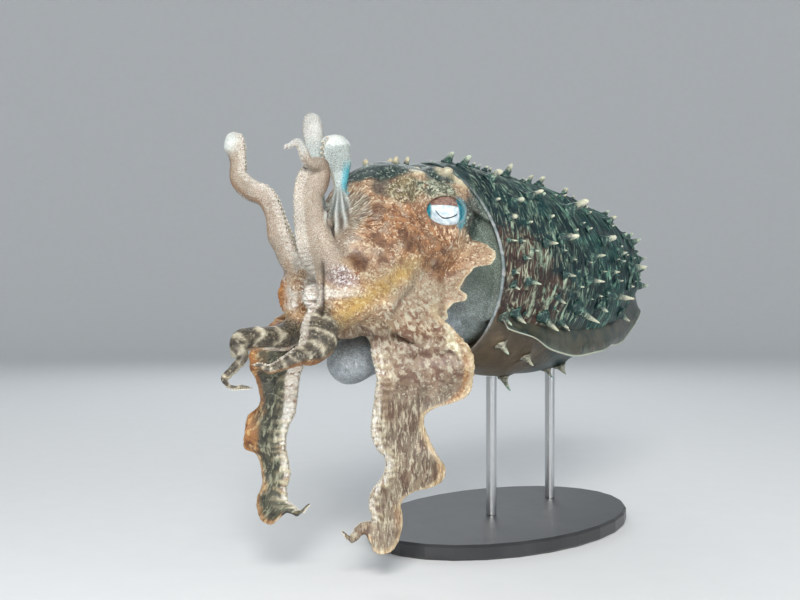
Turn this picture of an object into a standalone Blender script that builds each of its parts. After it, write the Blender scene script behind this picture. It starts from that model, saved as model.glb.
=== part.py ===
"""Broad-armed cuttlefish, swimming pose, as a life-size museum model on a stand.

Blender 4.5 script, metres, +Z up. The head points to -X, the tail to +X and the animal's
left side to -Y. The body is modelled about the centre of its mantle opening, and one empty
lifts all of it to its height above the floor. Body sizes are given in millimetres.
"""

import math
import random

import bmesh
import bpy
from mathutils import Matrix, Vector

MM = 0.001
GAP = 0.3                       # clear space between two nodes that meet

# Whole animal
AXIS_HEIGHT = 242.0             # mantle axis above the floor
BASE_CENTRE_X = 62.0            # stand's centre, behind the mantle opening

# Mantle stops: x, height of the centre, half width, half depth
MANTLE_STOPS = (
    (0, -17.5, 61, 80.5), (18, -21, 67, 85), (42, -25, 74, 86.5), (72, -27, 79, 85.5),
    (104, -27.5, 80, 84), (133, -26.5, 78, 79), (161, -24.5, 73, 73), (186, -21, 66, 64.5),
    (209, -18, 58, 55.5), (231, -15, 49, 46), (251, -11, 39.5, 37), (269, -8, 29.5, 27.5),
    (284, -5, 20, 19), (294, -4, 12.5, 11.5), (299, -4, 5, 5),
)
MANTLE_ROLL = math.radians(12)  # back leans to the animal's left
MANTLE_SIDES = 26
RIM_THICKNESS = 4.5
RIM_SIDE = -28.0                # the rim's place at the animal's sides
RIM_TONGUE = 34.0               # its dorsal tongue stands this far ahead
RIM_BELLY = 8.0                 # its ventral edge lies this far behind
RIM_BACK = 90.0                 # where along the mantle the rim's lean has died out
RIM_DEPTH = 26.0                # how far back the neck reaches in

# Fins
FIN_ROOT_ANGLE = math.radians(111)  # from the middle of the back
FIN_START = 0.25                # in mantle stops
FIN_END = 12.9
FIN_WIDTH = 31.0
FIN_REAR = 0.3                  # the fin's width at the tail against the front
FIN_DROOP = (0.25, 0, -0.55)
FIN_ROOT_THICK = 5.0
FIN_EDGE_THICK = 1.4
FIN_WAVES = 3.5
FIN_RIPPLE = 9.0
FIN_SWAY = 0.15
FIN_STATIONS = 22

# Papillae on the mantle, on both sides: mantle stop, degrees from the middle of the back,
# length, root radius
MANTLE_PAPILLAE = (
    (0.7, 7, 11, 3.2), (2.3, 0, 14, 3.6), (5.2, 0, 11, 3.4), (8.4, 0, 10, 3.2), (3.45, 3, 11, 3.2),
    (0.9, 24, 12, 4.0), (6.9, 20, 9, 3.2), (1.75, 34, 13, 3.4), (3.0, 37, 19, 4.8),
    (5.75, 35, 10, 3.4), (9.4, 34, 9, 3.0), (1.15, 41, 7, 2.8), (7.7, 50, 13, 4.0),
    (4.1, 55, 12, 3.8), (2.2, 59, 14, 4.4), (5.1, 62, 8, 3.0), (1.6, 64, 9, 3.2),
    (3.3, 66, 10, 3.2), (9.0, 66, 11, 3.4), (6.05, 72, 17, 4.8), (2.15, 79, 8, 3.0),
    (3.0, 80, 13, 3.8), (0.9, 87, 10, 3.4), (4.2, 88, 21, 5.4), (7.8, 90, 14, 4.2),
    (1.95, 92, 8, 3.0), (3.7, 94, 9, 3.4), (2.7, 96, 21, 5.2), (10.2, 84, 10, 3.4),
    (1.65, 104, 16, 4.6), (2.3, 105, 8, 3.0), (0.7, 106, 11, 4.0), (5.6, 103, 12, 3.8),
)
# Cones and drips on the belly, pale above and green below
BELLY_PAPILLAE = (
    (0.8, 127, 9, 3.4), (1.9, 131, 9, 3.4), (4.05, 143, 10, 3.6), (2.6, 163, 14, 3.0),
    (4.6, 160, 12, 3.0),
)
PAPILLA_SWEEP = 0.55            # how far the tips lean towards the tail
PAPILLA_SINK = 3.0
PAPILLA_SHIFT = (0.12, 3.0)     # right against left side, in stops and degrees
PAPILLA_VARY = 0.14
PAPILLA_SIDES = 4

# Papillae on the head: root beside and above the right eye, length, root radius
HEAD_PAPILLAE = (
    ((-98, 30, 46), (-0.35, 0.25, 0.9), 13, 6.5),
    ((-76, 26, 49), (0.1, 0.3, 0.95), 13, 4.2),
    ((-66, 31, 43), (0.25, 0.35, 0.9), 9, 3.6),
    ((-114, 30, 40), (-0.3, 0.5, 0.8), 6, 2.8),
    ((-88, 8, 57), (0.1, 0.1, 1), 11, 2.8),
    ((-108, 14, 55), (-0.2, 0.1, 1), 8, 2.6),
)

# Head and neck sections: x, y, z of the centre, half width, height above, depth below
NECK_SECTIONS = (
    (RIM_SIDE + RIM_DEPTH - GAP, 0, -19, 49, 64, 64),
    (-24, 0, -15, 52, 64, 66),
    (-50, 0, -4, 47, 54, 61),
)
HEAD_SECTIONS = (
    (-50, 0, -4, 47, 54, 61),
    (-78, -1, 3, 53, 55, 56),
    (-103, -4, -2, 52, 61, 50),
    (-122, -6, -9, 49, 53, 47),
)
CROWN_SECTIONS = (
    (-122, -6, -9, 49, 53, 47),
    (-142, -9, -19, 46, 44, 47),
    (-160, -10, -31, 42, 41, 43),
    (-174, -10, -39, 35, 31, 35),
    (-180, -10, -42, 24, 21, 24),
)
HEAD_SIDES = 22

# Eyes
EYE_RADIUS = 17.0
EYE_CENTRE = (-81, 36, 19)      # right eye; the left one is its mirror image
EYE_LOOK = (-0.5, 0.85, 0.12)   # the way the right eye faces
ORBIT_RADII = (27, 25, 15)      # the swelling round the eye, last along its look
LID_THICKNESS = 2.4
LID_OPENING = (15, 10.5)        # half length and half height of the opening
LID_LEVEL = 0.42                # where along the eye's radius the corners of the lids lie
LID_DROP = 2.0                  # how far the opening sits below the eye's middle

# Funnel under the head: x, y, z, radius
FUNNEL = (
    (-20, 0, -58, 25),
    (-55, 0, -64, 25),
    (-92, 1, -74, 21),
    (-120, 2, -83, 18),
    (-139, 3, -90, 17),
    (-149, 3, -93, 13),
    (-155, 3, -95, 5),
)
FUNNEL_SIDES = 12
FUNNEL_MOUTH_RADIUS = 8.5
FUNNEL_MOUTH_AT = (-126, 3, -104)
FUNNEL_MOUTH_WAY = (0.45, 0, -0.9)

# Mouth inside the arm crown
MOUTH_CENTRE = (-184, -9, -45)
MOUTH_WAY = (-0.93, -0.1, -0.35)
LIP_RADIUS = 13.0
LIP_HEIGHT = 8.0
LIP_FOLDS = 9
BEAK_LENGTH = 9.0
BEAK_ROOT = 4.0

# Arms. Each stop on a route is x, y, z, half depth from suckers to back, half width.
# aboral is the way the back of the arm faces; the suckers sit on the other side.
BACK_STEPS = 8                  # samples of the back's way for each stop
ROOT_START = 0.7                # stop inside the crown where each arm begins
STOP_STEPS = 2                  # rings for each stretch between two stops
VIEW_RIGHT = Vector((0.616, -0.788, 0))
ARMS = {
    "arm_1_left": {
        "route": (
            (-126, -14, 16, 12, 11), (-143, -13, 9, 11, 10), (-157, -12, 3, 9, 9),
            (-164, -10, 8, 7.5, 8), (-162, -6, 19, 6, 7), (-156, -2, 33, 6, 7),
            (-152, 0, 47, 9, 8), (-155, -3, 58, 10.5, 8), (-163, -6, 64, 8.5, 6.5),
            (-171, -9, 61, 5, 4), (-175, -11, 55, 1, 1),
        ),
        "aboral": (0.75, -0.6, 0.25),
        "cuts": (4.0, 7.0),
    },
    "arm_1_right": {
        "route": (
            (-126, 2, 16, 12, 11), (-143, 5, 9, 11, 10), (-157, 8, 3, 9, 8.5),
            (-164, 11, 8, 8, 7.5), (-163, 15, 22, 7.5, 7.5), (-159, 19, 45, 7.5, 7),
            (-157, 23, 66, 7.5, 7), (-153, 26, 83, 7.5, 6.5), (-146, 31, 91, 6, 5.5),
            (-137, 36, 89, 3.5, 3.5), (-133, 39, 81, 1, 1),
        ),
        "aboral": (0.616, -0.788, 0.1),
        "cuts": (4.0, 7.0),
    },
    "arm_2_left": {
        "route": (
            (-126, -31, 3, 13, 12), (-150, -33, -12, 14, 12), (-175, -31, -26, 14, 11),
            (-192, -27, -24, 13.5, 10.5), (-199, -22, -9, 13, 10), (-199, -17, 11, 13, 9.5),
            (-193, -17, 30, 12.5, 9), (-193, -18, 43, 9.5, 7.5), (-202, -17, 49, 6.5, 5.5),
            (-209, -15, 56, 4, 3.6), (-215, -13, 58, 2.6, 2.6), (-220, -12, 56, 1.6, 1.6),
            (-220, -11, 52, 0.8, 0.8),
        ),
        "aboral": (0.6, -0.75, -0.1),
        "cuts": (4.0, 6.3),
    },
    "arm_2_right": {
        "route": (
            (-126, 17, 3, 13, 12), (-148, 15, -12, 12, 11), (-168, 13, -26, 11, 10),
            (-182, 15, -20, 9, 9.5), (-192, 19, -1, 8, 9), (-200, 25, 16, 7.5, 8),
            (-206, 36, 29, 7.5, 7.5), (-209, 46, 40, 7, 7), (-207, 50, 54, 7, 7),
            (-203, 55, 65, 8, 7.5), (-195, 61, 71, 6.5, 6), (-187, 65, 67, 3.5, 3.5),
            (-185, 66, 60, 1, 1),
        ),
        "aboral": (-0.62, 0.78, 0),
        "cuts": (4.0, 7.0),
    },
    "arm_3_left": {
        "route": (
            (-126, -32, -20, 13, 12), (-150, -35, -34, 13, 12), (-170, -35, -46, 13, 12),
            (-185, -33, -53, 12.5, 11.5), (-197, -32, -61, 12, 11), (-206, -35, -71, 9.5, 9),
            (-216, -36, -78, 6.5, 6.5), (-227, -32, -81, 5, 5), (-236, -28, -85, 4.2, 4),
            (-244, -22, -89, 3, 3), (-248, -18, -87, 2, 2), (-253, -13, -86, 0.8, 0.8),
        ),
        "aboral": (0.1, -0.1, -1),
        "cuts": (4.0, 7.0),
    },
    "arm_3_right": {
        "route": (
            (-126, 17, -20, 13, 12), (-146, 17, -36, 12, 11), (-163, 15, -52, 11, 10),
            (-180, 13, -62, 9, 9), (-201, 9, -70, 8, 8), (-221, 9, -70, 7.5, 7),
            (-236, 11, -71, 7, 6.5), (-244, 9, -76, 6, 5.5), (-244, 3, -82, 4, 4),
            (-249, 6, -89, 3, 3), (-254, 10, -96, 2.6, 2.3), (-251, 7, -101, 2.0, 1.8),
            (-246, 1, -101, 1.5, 1.5), (-241, -3, -102, 0.8, 0.8),
        ),
        "aboral": (-0.35, 0.35, 0.85),
        "cuts": (4.0, 8.0),
    },
    "arm_4_left": {
        "route": (
            (-122, -19, -36, 13, 11), (-135, -20, -52, 13, 10), (-144, -25, -72, 11, 8),
            (-143, -32, -96, 8.5, 6.5), (-141, -34, -114, 8, 6), (-142, -32, -131, 8, 6),
            (-139, -36, -150, 7.5, 5.5), (-139, -37, -164, 7, 5), (-144, -31, -182, 6.5, 4.5),
            (-144, -31, -194, 6, 4), (-150, -28, -202, 5, 3.5), (-158, -24, -204, 3.5, 2.8),
            (-164, -20, -208, 2.5, 2.2), (-169, -17, -211, 1.6, 1.6), (-174, -14, -209, 0.8, 0.8),
        ),
        "aboral": (0.616, -0.788, 0),
        "cuts": (3.2, 6.3, 9.3),
        # keel: place along the stops and how far the membrane stands out there
        "keel": ((0, 8), (1.0, 26), (1.7, 38), (2.4, 53), (2.9, 55), (3.7, 48), (4.3, 27), (4.9, 21),
                 (5.8, 25), (6.7, 27), (7.4, 31), (8.0, 15), (8.6, 9), (9.3, 8), (10.2, 11),
                 (11.2, 7), (12.2, 2), (14, 0)),
        "level": (2.0, 9.0),
        "steps": 3,
    },
    "arm_4_right": {
        "route": (
            (-122, 4, -36, 13, 11), (-136, 7, -52, 12, 10), (-153, 14, -70, 10, 8),
            (-170, 21, -86, 8.5, 6.5), (-178, 23, -104, 8, 6), (-183, 26, -124, 7, 5.5),
            (-185, 29, -142, 6.5, 5), (-184, 28, -160, 6.5, 5), (-186, 28, -176, 6, 4.5),
            (-187, 24, -188, 5, 4), (-186, 17, -195, 3.8, 3), (-184, 9, -192, 2.4, 2.2),
            (-183, 3, -185, 0.8, 0.8),
        ),
        "aboral": (-0.616, 0.788, 0),
        "cuts": (3.4, 6.2, 8.8),
        "keel": ((0, 6), (1.0, 14), (2.2, 24), (3.2, 25), (4.2, 15), (4.8, 15), (5.4, 20),
                 (6.3, 18), (6.8, 8), (7.6, 8), (8.3, 9), (9.0, 15), (9.8, 12), (10.6, 5), (12, 0)),
        "level": (2.6, 8.6),
        "steps": 3,
    },
}
# Suckers, in two rows on the side away from the aboral way
SUCKER_PAIRS = 7                # along each arm
SUCKER_CROWDING = 1.25          # above 1, they stand closer towards the tip
SUCKER_SHARE = 0.36             # radius against the arm's half width
SUCKER_LEAST = 0.8
SUCKER_CLEAR = 1.9             # from a length's end, in sucker radii
SUCKER_HEIGHT = 0.75            # in sucker radii
SUCKER_SINK = 0.7
SUCKER_SIDES = 5
SUCKER_START = 2.1              # the first stop that carries them

# Webs between neighbouring arms: how far each bulges to the right side, and places along
# both arms, in stops, where it runs
WEBS = (
    ("arm_1_left", "arm_1_right", 0, ((1.2, 1.2), (2.2, 2.2))),
    ("arm_1_left", "arm_2_left", 0, ((1.2, 1.2), (2.3, 2.6))),
    ("arm_1_right", "arm_2_right", 0, ((1.2, 1.2), (2.3, 2.4))),
    ("arm_2_left", "arm_3_left", -7, ((1.3, 1.3), (2.3, 2.3), (3.1, 3.0), (3.6, 3.7))),
    ("arm_2_right", "arm_3_right", 14, ((1.3, 1.3), (2.3, 2.3), (3.2, 3.4))),
    ("arm_3_left", "arm_4_left", 0, ((1.0, 0.9), (1.9, 1.5), (2.5, 2.0))),
    ("arm_3_right", "arm_4_right", 0, ((1.0, 1.0), (2.2, 2.0))),
)
WEB_SIZE = 0.95
WEB_BACK = 0.1
KEEL_THICK = 3.4
KEEL_EDGE = 1.2

# Membrane along the side of the head, from under the eye to the lowest arm
FLAP_ROOT = ((-60, 44, 12), (-69, 47, -2), (-82, 47, -18), (-96, 45, -35), (-111, 38, -52),
             (-124, 31, -64), (-137, 27, -75))
# its lobes: share of the root's length, and how far the membrane reaches there
FLAP_REACH = ((0, 1), (0.06, 2), (0.12, 7), (0.16, 20), (0.21, 29), (0.26, 31), (0.31, 28),
              (0.35, 19), (0.44, 16), (0.49, 17), (0.53, 25), (0.57, 27), (0.60, 20),
              (0.64, 21), (0.73, 26), (0.82, 36), (0.90, 44), (1, 52))
FLAP_WAY = (0.40, 0.90, -0.12)
FLAP_SINK = 12.0
FLAP_THICK = 3.4
FLAP_EDGE = 1.4
FLAP_STATIONS = 22

# Stand
BASE_LENGTH = 290.0
BASE_WIDTH = 190.0
BASE_THICK = 12.0
BASE_EDGE = 2.0
ROD_RADIUS = 4.5
ROD_PLACES = (45.0, 145.0)      # along the mantle, from its opening

COLOURS = {
    "mantle": (0.05, 0.11, 0.10), "fin": (0.16, 0.14, 0.10), "head": (0.45, 0.25, 0.12),
    "neck": (0.12, 0.15, 0.13), "arm": (0.55, 0.42, 0.30), "eye": (0.75, 0.80, 0.82),
    "funnel": (0.35, 0.38, 0.38), "mouth": (0.75, 0.66, 0.58), "beak": (0.06, 0.04, 0.03),
    "stand": (0.03, 0.03, 0.035), "rod": (0.6, 0.6, 0.62),
}


def finish_material(name):
    """The painted finish of one kind of piece."""
    found = bpy.data.materials.get(name)
    if found:
        return found
    made = bpy.data.materials.new(name)
    made.use_nodes = True
    shader = made.node_tree.nodes["Principled BSDF"]
    shader.inputs["Base Color"].default_value = (*COLOURS[name], 1)
    shader.inputs["Roughness"].default_value = 0.3 if name in ("eye", "rod", "beak") else 0.5
    shader.inputs["Metallic"].default_value = 1.0 if name == "rod" else 0.0
    return made


def clear_scene():
    for old in list(bpy.data.objects):
        bpy.data.objects.remove(old)


def collection(name):
    made = bpy.data.collections.new(name)
    bpy.context.scene.collection.children.link(made)
    return made


def object_from(mesh_build, name, home, finish=None):
    """A named object from a bmesh, with faces pointing out and its material set."""
    bmesh.ops.remove_doubles(mesh_build, verts=mesh_build.verts, dist=1e-6)
    bmesh.ops.recalc_face_normals(mesh_build, faces=mesh_build.faces)
    mesh = bpy.data.meshes.new(name)
    mesh_build.to_mesh(mesh)
    mesh_build.free()
    made = bpy.data.objects.new(name, mesh)
    home.objects.link(made)
    if finish:
        mesh.materials.append(finish_material(finish))
    return made


def ring(mesh_build, points):
    """A closed loop of edges through points given in millimetres."""
    verts = [mesh_build.verts.new(Vector(p) * MM) for p in points]
    return [mesh_build.edges.new((verts[i - 1], verts[i])) for i in range(len(verts))], verts


def loft(rings, paired=False):
    """A closed body through a row of rings, split into triangles, with flat ends.

    In a paired ring the second half lies under the first in reverse order, and both faces
    of the sheet are split alike.
    """
    body = bmesh.new()
    rows = [[body.verts.new(Vector(p) * MM) for p in points] for points in rings]
    count = len(rows[0])
    for near, far in zip(rows, rows[1:]):
        for i in range(count):
            j = (i + 1) % count
            if paired and i >= count // 2:
                body.faces.new((near[i], near[j], far[i]))
                body.faces.new((near[j], far[j], far[i]))
            else:
                body.faces.new((near[i], near[j], far[j]))
                body.faces.new((near[i], far[j], far[i]))
    ends = [body.faces.new(end) for end in (rows[0], rows[-1])]
    bmesh.ops.triangulate(body, faces=ends)
    return body


def smooth_curve(stops, at):
    """Catmull-Rom value at a place counted in stops, for points of any number of figures."""
    last = len(stops) - 1
    start = min(int(at), last - 1)
    part = at - start
    before, here, after, beyond = (
        stops[max(0, min(last, start + step))] for step in (-1, 0, 1, 2)
    )
    return [
        0.5 * (2 * q + (r - p) * part + (2 * p - 5 * q + 4 * r - s) * part**2
               + (3 * q - p - 3 * r + s) * part**3)
        for p, q, r, s in zip(before, here, after, beyond)
    ]


def table_value(table, at):
    """The value at a place in a table of (place, value), with a smooth change between."""
    for (start, low), (end, high) in zip(table, table[1:]):
        if start <= at <= end:
            part = (at - start) / (end - start)
            return low + (high - low) * part * part * (3 - 2 * part)
    return 0.0


def evaluated_copy(item):
    """The mesh of an object with its modifiers applied."""
    bpy.context.view_layer.update()
    graph = bpy.context.evaluated_depsgraph_get()
    return bpy.data.meshes.new_from_object(item.evaluated_get(graph))


def keep_largest(mesh):
    """Leaves only the closed surface that holds most, and drops sealed hollows and scraps."""
    body = bmesh.new()
    body.from_mesh(mesh)
    left = set(body.faces)
    shells = []
    while left:
        shell, edge = set(), [left.pop()]
        while edge:
            face = edge.pop()
            shell.add(face)
            for side in face.edges:
                for other in side.link_faces:
                    if other in left:
                        left.discard(other)
                        edge.append(other)
        shells.append(shell)

    def spread(shell):
        corners = [v.co for f in shell for v in f.verts]
        return sum(max(c[k] for c in corners) - min(c[k] for c in corners) for k in range(3))

    shells.sort(key=spread)
    scraps = [f for shell in shells[:-1] for f in shell]
    if scraps:
        bmesh.ops.delete(body, geom=scraps, context="FACES")
    body.to_mesh(mesh)
    body.free()


def combine(target, pieces, operation, solver="MANIFOLD"):
    """Joins pieces to target, or cuts them from it, and removes them."""
    if not pieces:
        return target
    group = bpy.data.collections.new("pieces_of_" + target.name)
    bpy.context.scene.collection.children.link(group)
    for piece in pieces:
        for home in list(piece.users_collection):
            home.objects.unlink(piece)
        group.objects.link(piece)
    change = target.modifiers.new("combine", "BOOLEAN")
    change.operation = operation
    change.operand_type = "COLLECTION"
    change.collection = group
    change.solver = solver
    made = evaluated_copy(target)
    target.modifiers.clear()
    finishes = list(target.data.materials)
    target.data = made
    made.materials.clear()
    for finish in finishes:
        made.materials.append(finish)
    for piece in pieces:
        bpy.data.objects.remove(piece)
    bpy.data.collections.remove(group)
    keep_largest(target.data)
    return target


def swollen_copy(item, home, by=GAP * 1.25):
    """A cutter: the item's own shape, grown a little along its normals."""
    body = bmesh.new()
    body.from_mesh(item.data)
    body.normal_update()
    shifts = [(v, v.normal.copy()) for v in body.verts]
    for vert, normal in shifts:
        vert.co += normal * by * MM
    cutter = object_from(body, item.name + "_cutter", home)
    cutter.hide_render = True
    cutter.display_type = "WIRE"
    return cutter


# Mantle


def mantle_point(at, angle, grow=0.0):
    """A point on the mantle, at a place counted in stops.

    The angle runs from the middle of the back to the right side.
    """
    x, rise, half_width, half_depth = smooth_curve(MANTLE_STOPS, at)
    across = math.sin(angle) * (half_width + grow)
    up = math.cos(angle) * (half_depth + grow)
    lean = max(0.0, 1 - x / RIM_BACK) ** 2
    height = math.cos(angle)
    forward = RIM_SIDE - RIM_TONGUE * max(0.0, height) ** 1.5 + RIM_BELLY * max(0.0, -height)
    cos, sin = math.cos(MANTLE_ROLL), math.sin(MANTLE_ROLL)
    y = across * cos - up * sin
    z = up * cos + across * sin + rise
    return Vector((x + forward * lean, y, z))


def around(count):
    return [2 * math.pi * step / count for step in range(count)]


def mantle_body(home):
    rings = [[mantle_point(at, a) for a in around(MANTLE_SIDES)]
             for at in range(len(MANTLE_STOPS))]
    lip = [mantle_point(0, a, -RIM_THICKNESS) for a in around(MANTLE_SIDES)]
    middle_z = MANTLE_STOPS[0][1]
    inner = [Vector((RIM_SIDE + RIM_DEPTH, p.y * 0.94, (p.z - middle_z) * 0.94 + middle_z))
             for p in lip]
    mantle = object_from(loft([inner, lip] + rings), "mantle", home, "mantle")
    return combine(mantle, mantle_papillae(home), "UNION")


# Papillae


def papilla(name, root, way, length, radius, home):
    """A spike with a broad sunk root and a bent tip, in millimetres."""
    way = way.normalized()
    bend = (way + Vector((PAPILLA_SWEEP, 0, 0))).normalized()
    across = way.orthogonal().normalized()
    other = way.cross(across)
    body = bmesh.new()
    loops = []
    for rise, share, centre in ((-PAPILLA_SINK, 1.5, root), (length * 0.5, 0.62, root)):
        points = [centre + way * rise + (across * math.cos(a) + other * math.sin(a))
                  * radius * share for a in around(PAPILLA_SIDES)]
        loops.append(ring(body, points))
    bmesh.ops.bridge_loops(body, edges=loops[0][0] + loops[1][0])
    body.faces.new(loops[0][1])
    tip = body.verts.new((root + way * length * 0.5 + bend * length * 0.5) * MM)
    upper = loops[1][1]
    for near, far in zip(upper, upper[1:] + upper[:1]):
        body.faces.new((near, far, tip))
    bmesh.ops.triangulate(body, faces=body.faces)
    return object_from(body, name, home)


def mantle_papillae(home):
    """The mantle's papillae, those of the right side a little shifted and varied in size."""
    draw = random.Random(7)
    made = []
    for place, degrees, length, radius in MANTLE_PAPILLAE + BELLY_PAPILLAE:
        for side in ((-1,) if degrees == 0 else (-1, 1)):
            at, turn, size = place, degrees * side, 1.0
            if side > 0:
                at += draw.uniform(-PAPILLA_SHIFT[0], PAPILLA_SHIFT[0])
                turn += draw.uniform(-PAPILLA_SHIFT[1], PAPILLA_SHIFT[1])
                size += draw.uniform(-PAPILLA_VARY, PAPILLA_VARY)
            root, out, along = mantle_frame(at, math.radians(turn))
            down = Vector((0, 0, -0.6 if degrees > 90 else 0))
            made.append(papilla(f"papilla_{len(made)}", root, out + along * 0.35 + down,
                                length * size, radius * size, home))
    return made


def head_papillae(home):
    made = []
    for side in (-1, 1):
        for (x, y, z), (out_x, out_y, out_z), length, radius in HEAD_PAPILLAE:
            made.append(papilla(f"head_papilla_{len(made)}", Vector((x, y * side, z)),
                                Vector((out_x, out_y * side, out_z)), length, radius, home))
    return made


# Fins


def mantle_frame(at, angle):
    """A point on the mantle with the way out of the skin and the way to the tail."""
    step = math.radians(2)
    along = mantle_point(at + 0.1, angle) - mantle_point(at - 0.1, angle)
    round_it = mantle_point(at, angle + step) - mantle_point(at, angle - step)
    out = along.cross(round_it).normalized()
    point = mantle_point(at, angle)
    if out.dot(point - mantle_point(at, angle + math.pi)) < 0:
        out.negate()
    return point, out, along.normalized()


def fin_body(side, home, mantle):
    """One fin: a thin sheet with rippled edge, cut clear of the mantle it grows from."""
    rings = []
    for step in range(FIN_STATIONS + 1):
        share = step / FIN_STATIONS
        at = FIN_START + (FIN_END - FIN_START) * share
        root, out, _ = mantle_frame(at, FIN_ROOT_ANGLE * side)
        way = (out + Vector(FIN_DROOP)).normalized()
        reach = FIN_WIDTH * math.sin(math.pi * (0.05 + 0.93 * share)) ** 0.45
        reach *= 1 - (1 - FIN_REAR) * share
        phase = 2 * math.pi * FIN_WAVES * share + (0.6 if side < 0 else 2.2)
        ripple = FIN_RIPPLE * reach / FIN_WIDTH
        sway = Vector((FIN_SWAY, 0, 0)) * math.cos(phase)
        lift = way.cross(Vector((1, 0, 0))).normalized()
        if lift.z < 0:
            lift.negate()
        inside = root - out * 6
        middle = root + way * reach * 0.5 + lift * math.sin(phase) * ripple * 0.3
        edge = root + way * reach + (lift * math.sin(phase) + sway) * ripple
        upper = [p + lift * t / 2 for p, t in
                 ((inside, FIN_ROOT_THICK), (root, FIN_ROOT_THICK),
                  (middle, (FIN_ROOT_THICK + FIN_EDGE_THICK) / 2.2), (edge, FIN_EDGE_THICK))]
        lower = [p - lift * t / 2 for p, t in
                 ((edge, FIN_EDGE_THICK), (middle, (FIN_ROOT_THICK + FIN_EDGE_THICK) / 2.2),
                  (root, FIN_ROOT_THICK), (inside, FIN_ROOT_THICK))]
        rings.append(upper + lower)
    name = "fin_left" if side < 0 else "fin_right"
    fin = object_from(loft(rings, True), name, home, "fin")
    return combine(fin, [swollen_copy(mantle, home)], "DIFFERENCE")


# Head, neck and eyes


def section_ring(section, tangent, sides=HEAD_SIDES):
    """An egg-shaped section square to the head's line."""
    x, y, z, half_width, above, below = section
    across = Vector((-tangent.y, tangent.x, 0)).normalized()
    up = across.cross(tangent).normalized()
    if up.z < 0:
        up.negate()
    points = []
    for angle in around(sides):
        rise = math.cos(angle)
        rise *= above if rise > 0 else below
        points.append(Vector((x, y, z)) + across * math.sin(angle) * half_width + up * rise)
    return points


def section_loft(sections, steps, first_way, last_way, start_gap=0.0):
    """A body through sections whose planes turn evenly from the first way to the last."""
    rings = []
    count = (len(sections) - 1) * steps
    for step in range(count + 1):
        here = smooth_curve(sections, step / steps)
        tangent = first_way.lerp(last_way, step / count).normalized()
        if step == 0:
            here[:3] = Vector(here[:3]) + tangent * start_gap
        rings.append(section_ring(here, tangent))
    return loft(rings)


BACKWARD = Vector((-1, 0, 0))
CROWN_WAY = Vector((-0.90, -0.10, -0.42)).normalized()


def ball(name, centre, radii, home, finish=None, rings=9, segments=15, turn=None):
    """An egg shape about a centre, in millimetres."""
    body = bmesh.new()
    bmesh.ops.create_uvsphere(body, u_segments=segments, v_segments=rings, radius=1)
    size = Matrix.Diagonal((*(r * MM for r in radii), 1))
    place = Matrix.Translation(Vector(centre) * MM) @ (turn or Matrix()) @ size
    bmesh.ops.transform(body, matrix=place, verts=body.verts)
    return object_from(body, name, home, finish)


def lid_opening(name, centre, look, home):
    """A cutter that widens outwards: the almond opening between the two lids."""
    turn = look.to_track_quat("Z", "Y").to_matrix().to_4x4()
    length, height = LID_OPENING
    body = bmesh.new()
    bmesh.ops.create_cone(body, cap_ends=True, segments=20, radius1=1, radius2=1.25, depth=1.2)
    for vert in body.verts:
        if vert.co.y > 0:
            vert.co.y *= 0.92
        vert.co.z += 0.6 + LID_LEVEL
    size = Matrix.Diagonal((length * MM, height * MM, EYE_RADIUS * MM, 1))
    place = Matrix.Translation((Vector(centre) - Vector((0, 0, LID_DROP))) * MM)
    bmesh.ops.transform(body, matrix=place @ turn @ size, verts=body.verts)
    return object_from(body, name, home)


def flap_body(side, home):
    """The lobed membrane along one side of the head."""
    rings = []
    for step in range(FLAP_STATIONS + 1):
        share = step / FLAP_STATIONS
        x, y, z = smooth_curve(FLAP_ROOT, share * (len(FLAP_ROOT) - 1))
        root = Vector((x, y * side, z))
        way = Vector((FLAP_WAY[0], FLAP_WAY[1] * side, FLAP_WAY[2])).normalized()
        lift = Vector((-way.y * side, way.x * side, 0)).normalized()
        reach = table_value(FLAP_REACH, share)
        line = ((root - way * FLAP_SINK, FLAP_THICK), (root + way * reach * 0.45, FLAP_THICK),
                (root + way * reach, FLAP_EDGE))
        rings.append([p + lift * t / 2 for p, t in line]
                     + [p - lift * t / 2 for p, t in reversed(line)])
    return object_from(loft(rings, True), f"flap_{side}", home)


def head_and_eyes(home):
    neck = object_from(
        section_loft(NECK_SECTIONS, 2, BACKWARD, BACKWARD), "neck", home, "neck")
    head = object_from(
        section_loft(HEAD_SECTIONS, 3, BACKWARD, CROWN_WAY, GAP), "head", home, "head")
    additions, sockets, eyes = head_papillae(home), [], []
    for side, word in ((-1, "left"), (1, "right")):
        x, y, z = EYE_CENTRE
        centre = (x, y * side, z)
        look = Vector((EYE_LOOK[0], EYE_LOOK[1] * side, EYE_LOOK[2])).normalized()
        turn = look.to_track_quat("Z", "Y").to_matrix().to_4x4()
        shell = [EYE_RADIUS + LID_THICKNESS] * 3
        additions.append(flap_body(side, home))
        additions.append(ball("orbit_" + word, centre, ORBIT_RADII, home, None, 8, 12, turn))
        additions.append(ball("lids_" + word, centre, shell, home, None, 8, 14, turn))
        sockets.append(ball("socket_" + word, centre, [EYE_RADIUS + GAP] * 3, home, turn=turn))
        sockets.append(lid_opening("opening_" + word, centre, look, home))
        eyes.append(ball("eye_" + word, centre, [EYE_RADIUS] * 3, home, "eye", turn=turn))
    combine(head, additions, "UNION")
    combine(head, sockets, "DIFFERENCE")
    return neck, head, eyes


# Arms


def unit(values):
    return Vector(values).normalized()


def keel_reach(arm, at):
    """How far the keel membrane stands out behind the arm at a place on its route."""
    return table_value(arm.get("keel", ((0, 0), (1, 0))), at)


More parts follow.
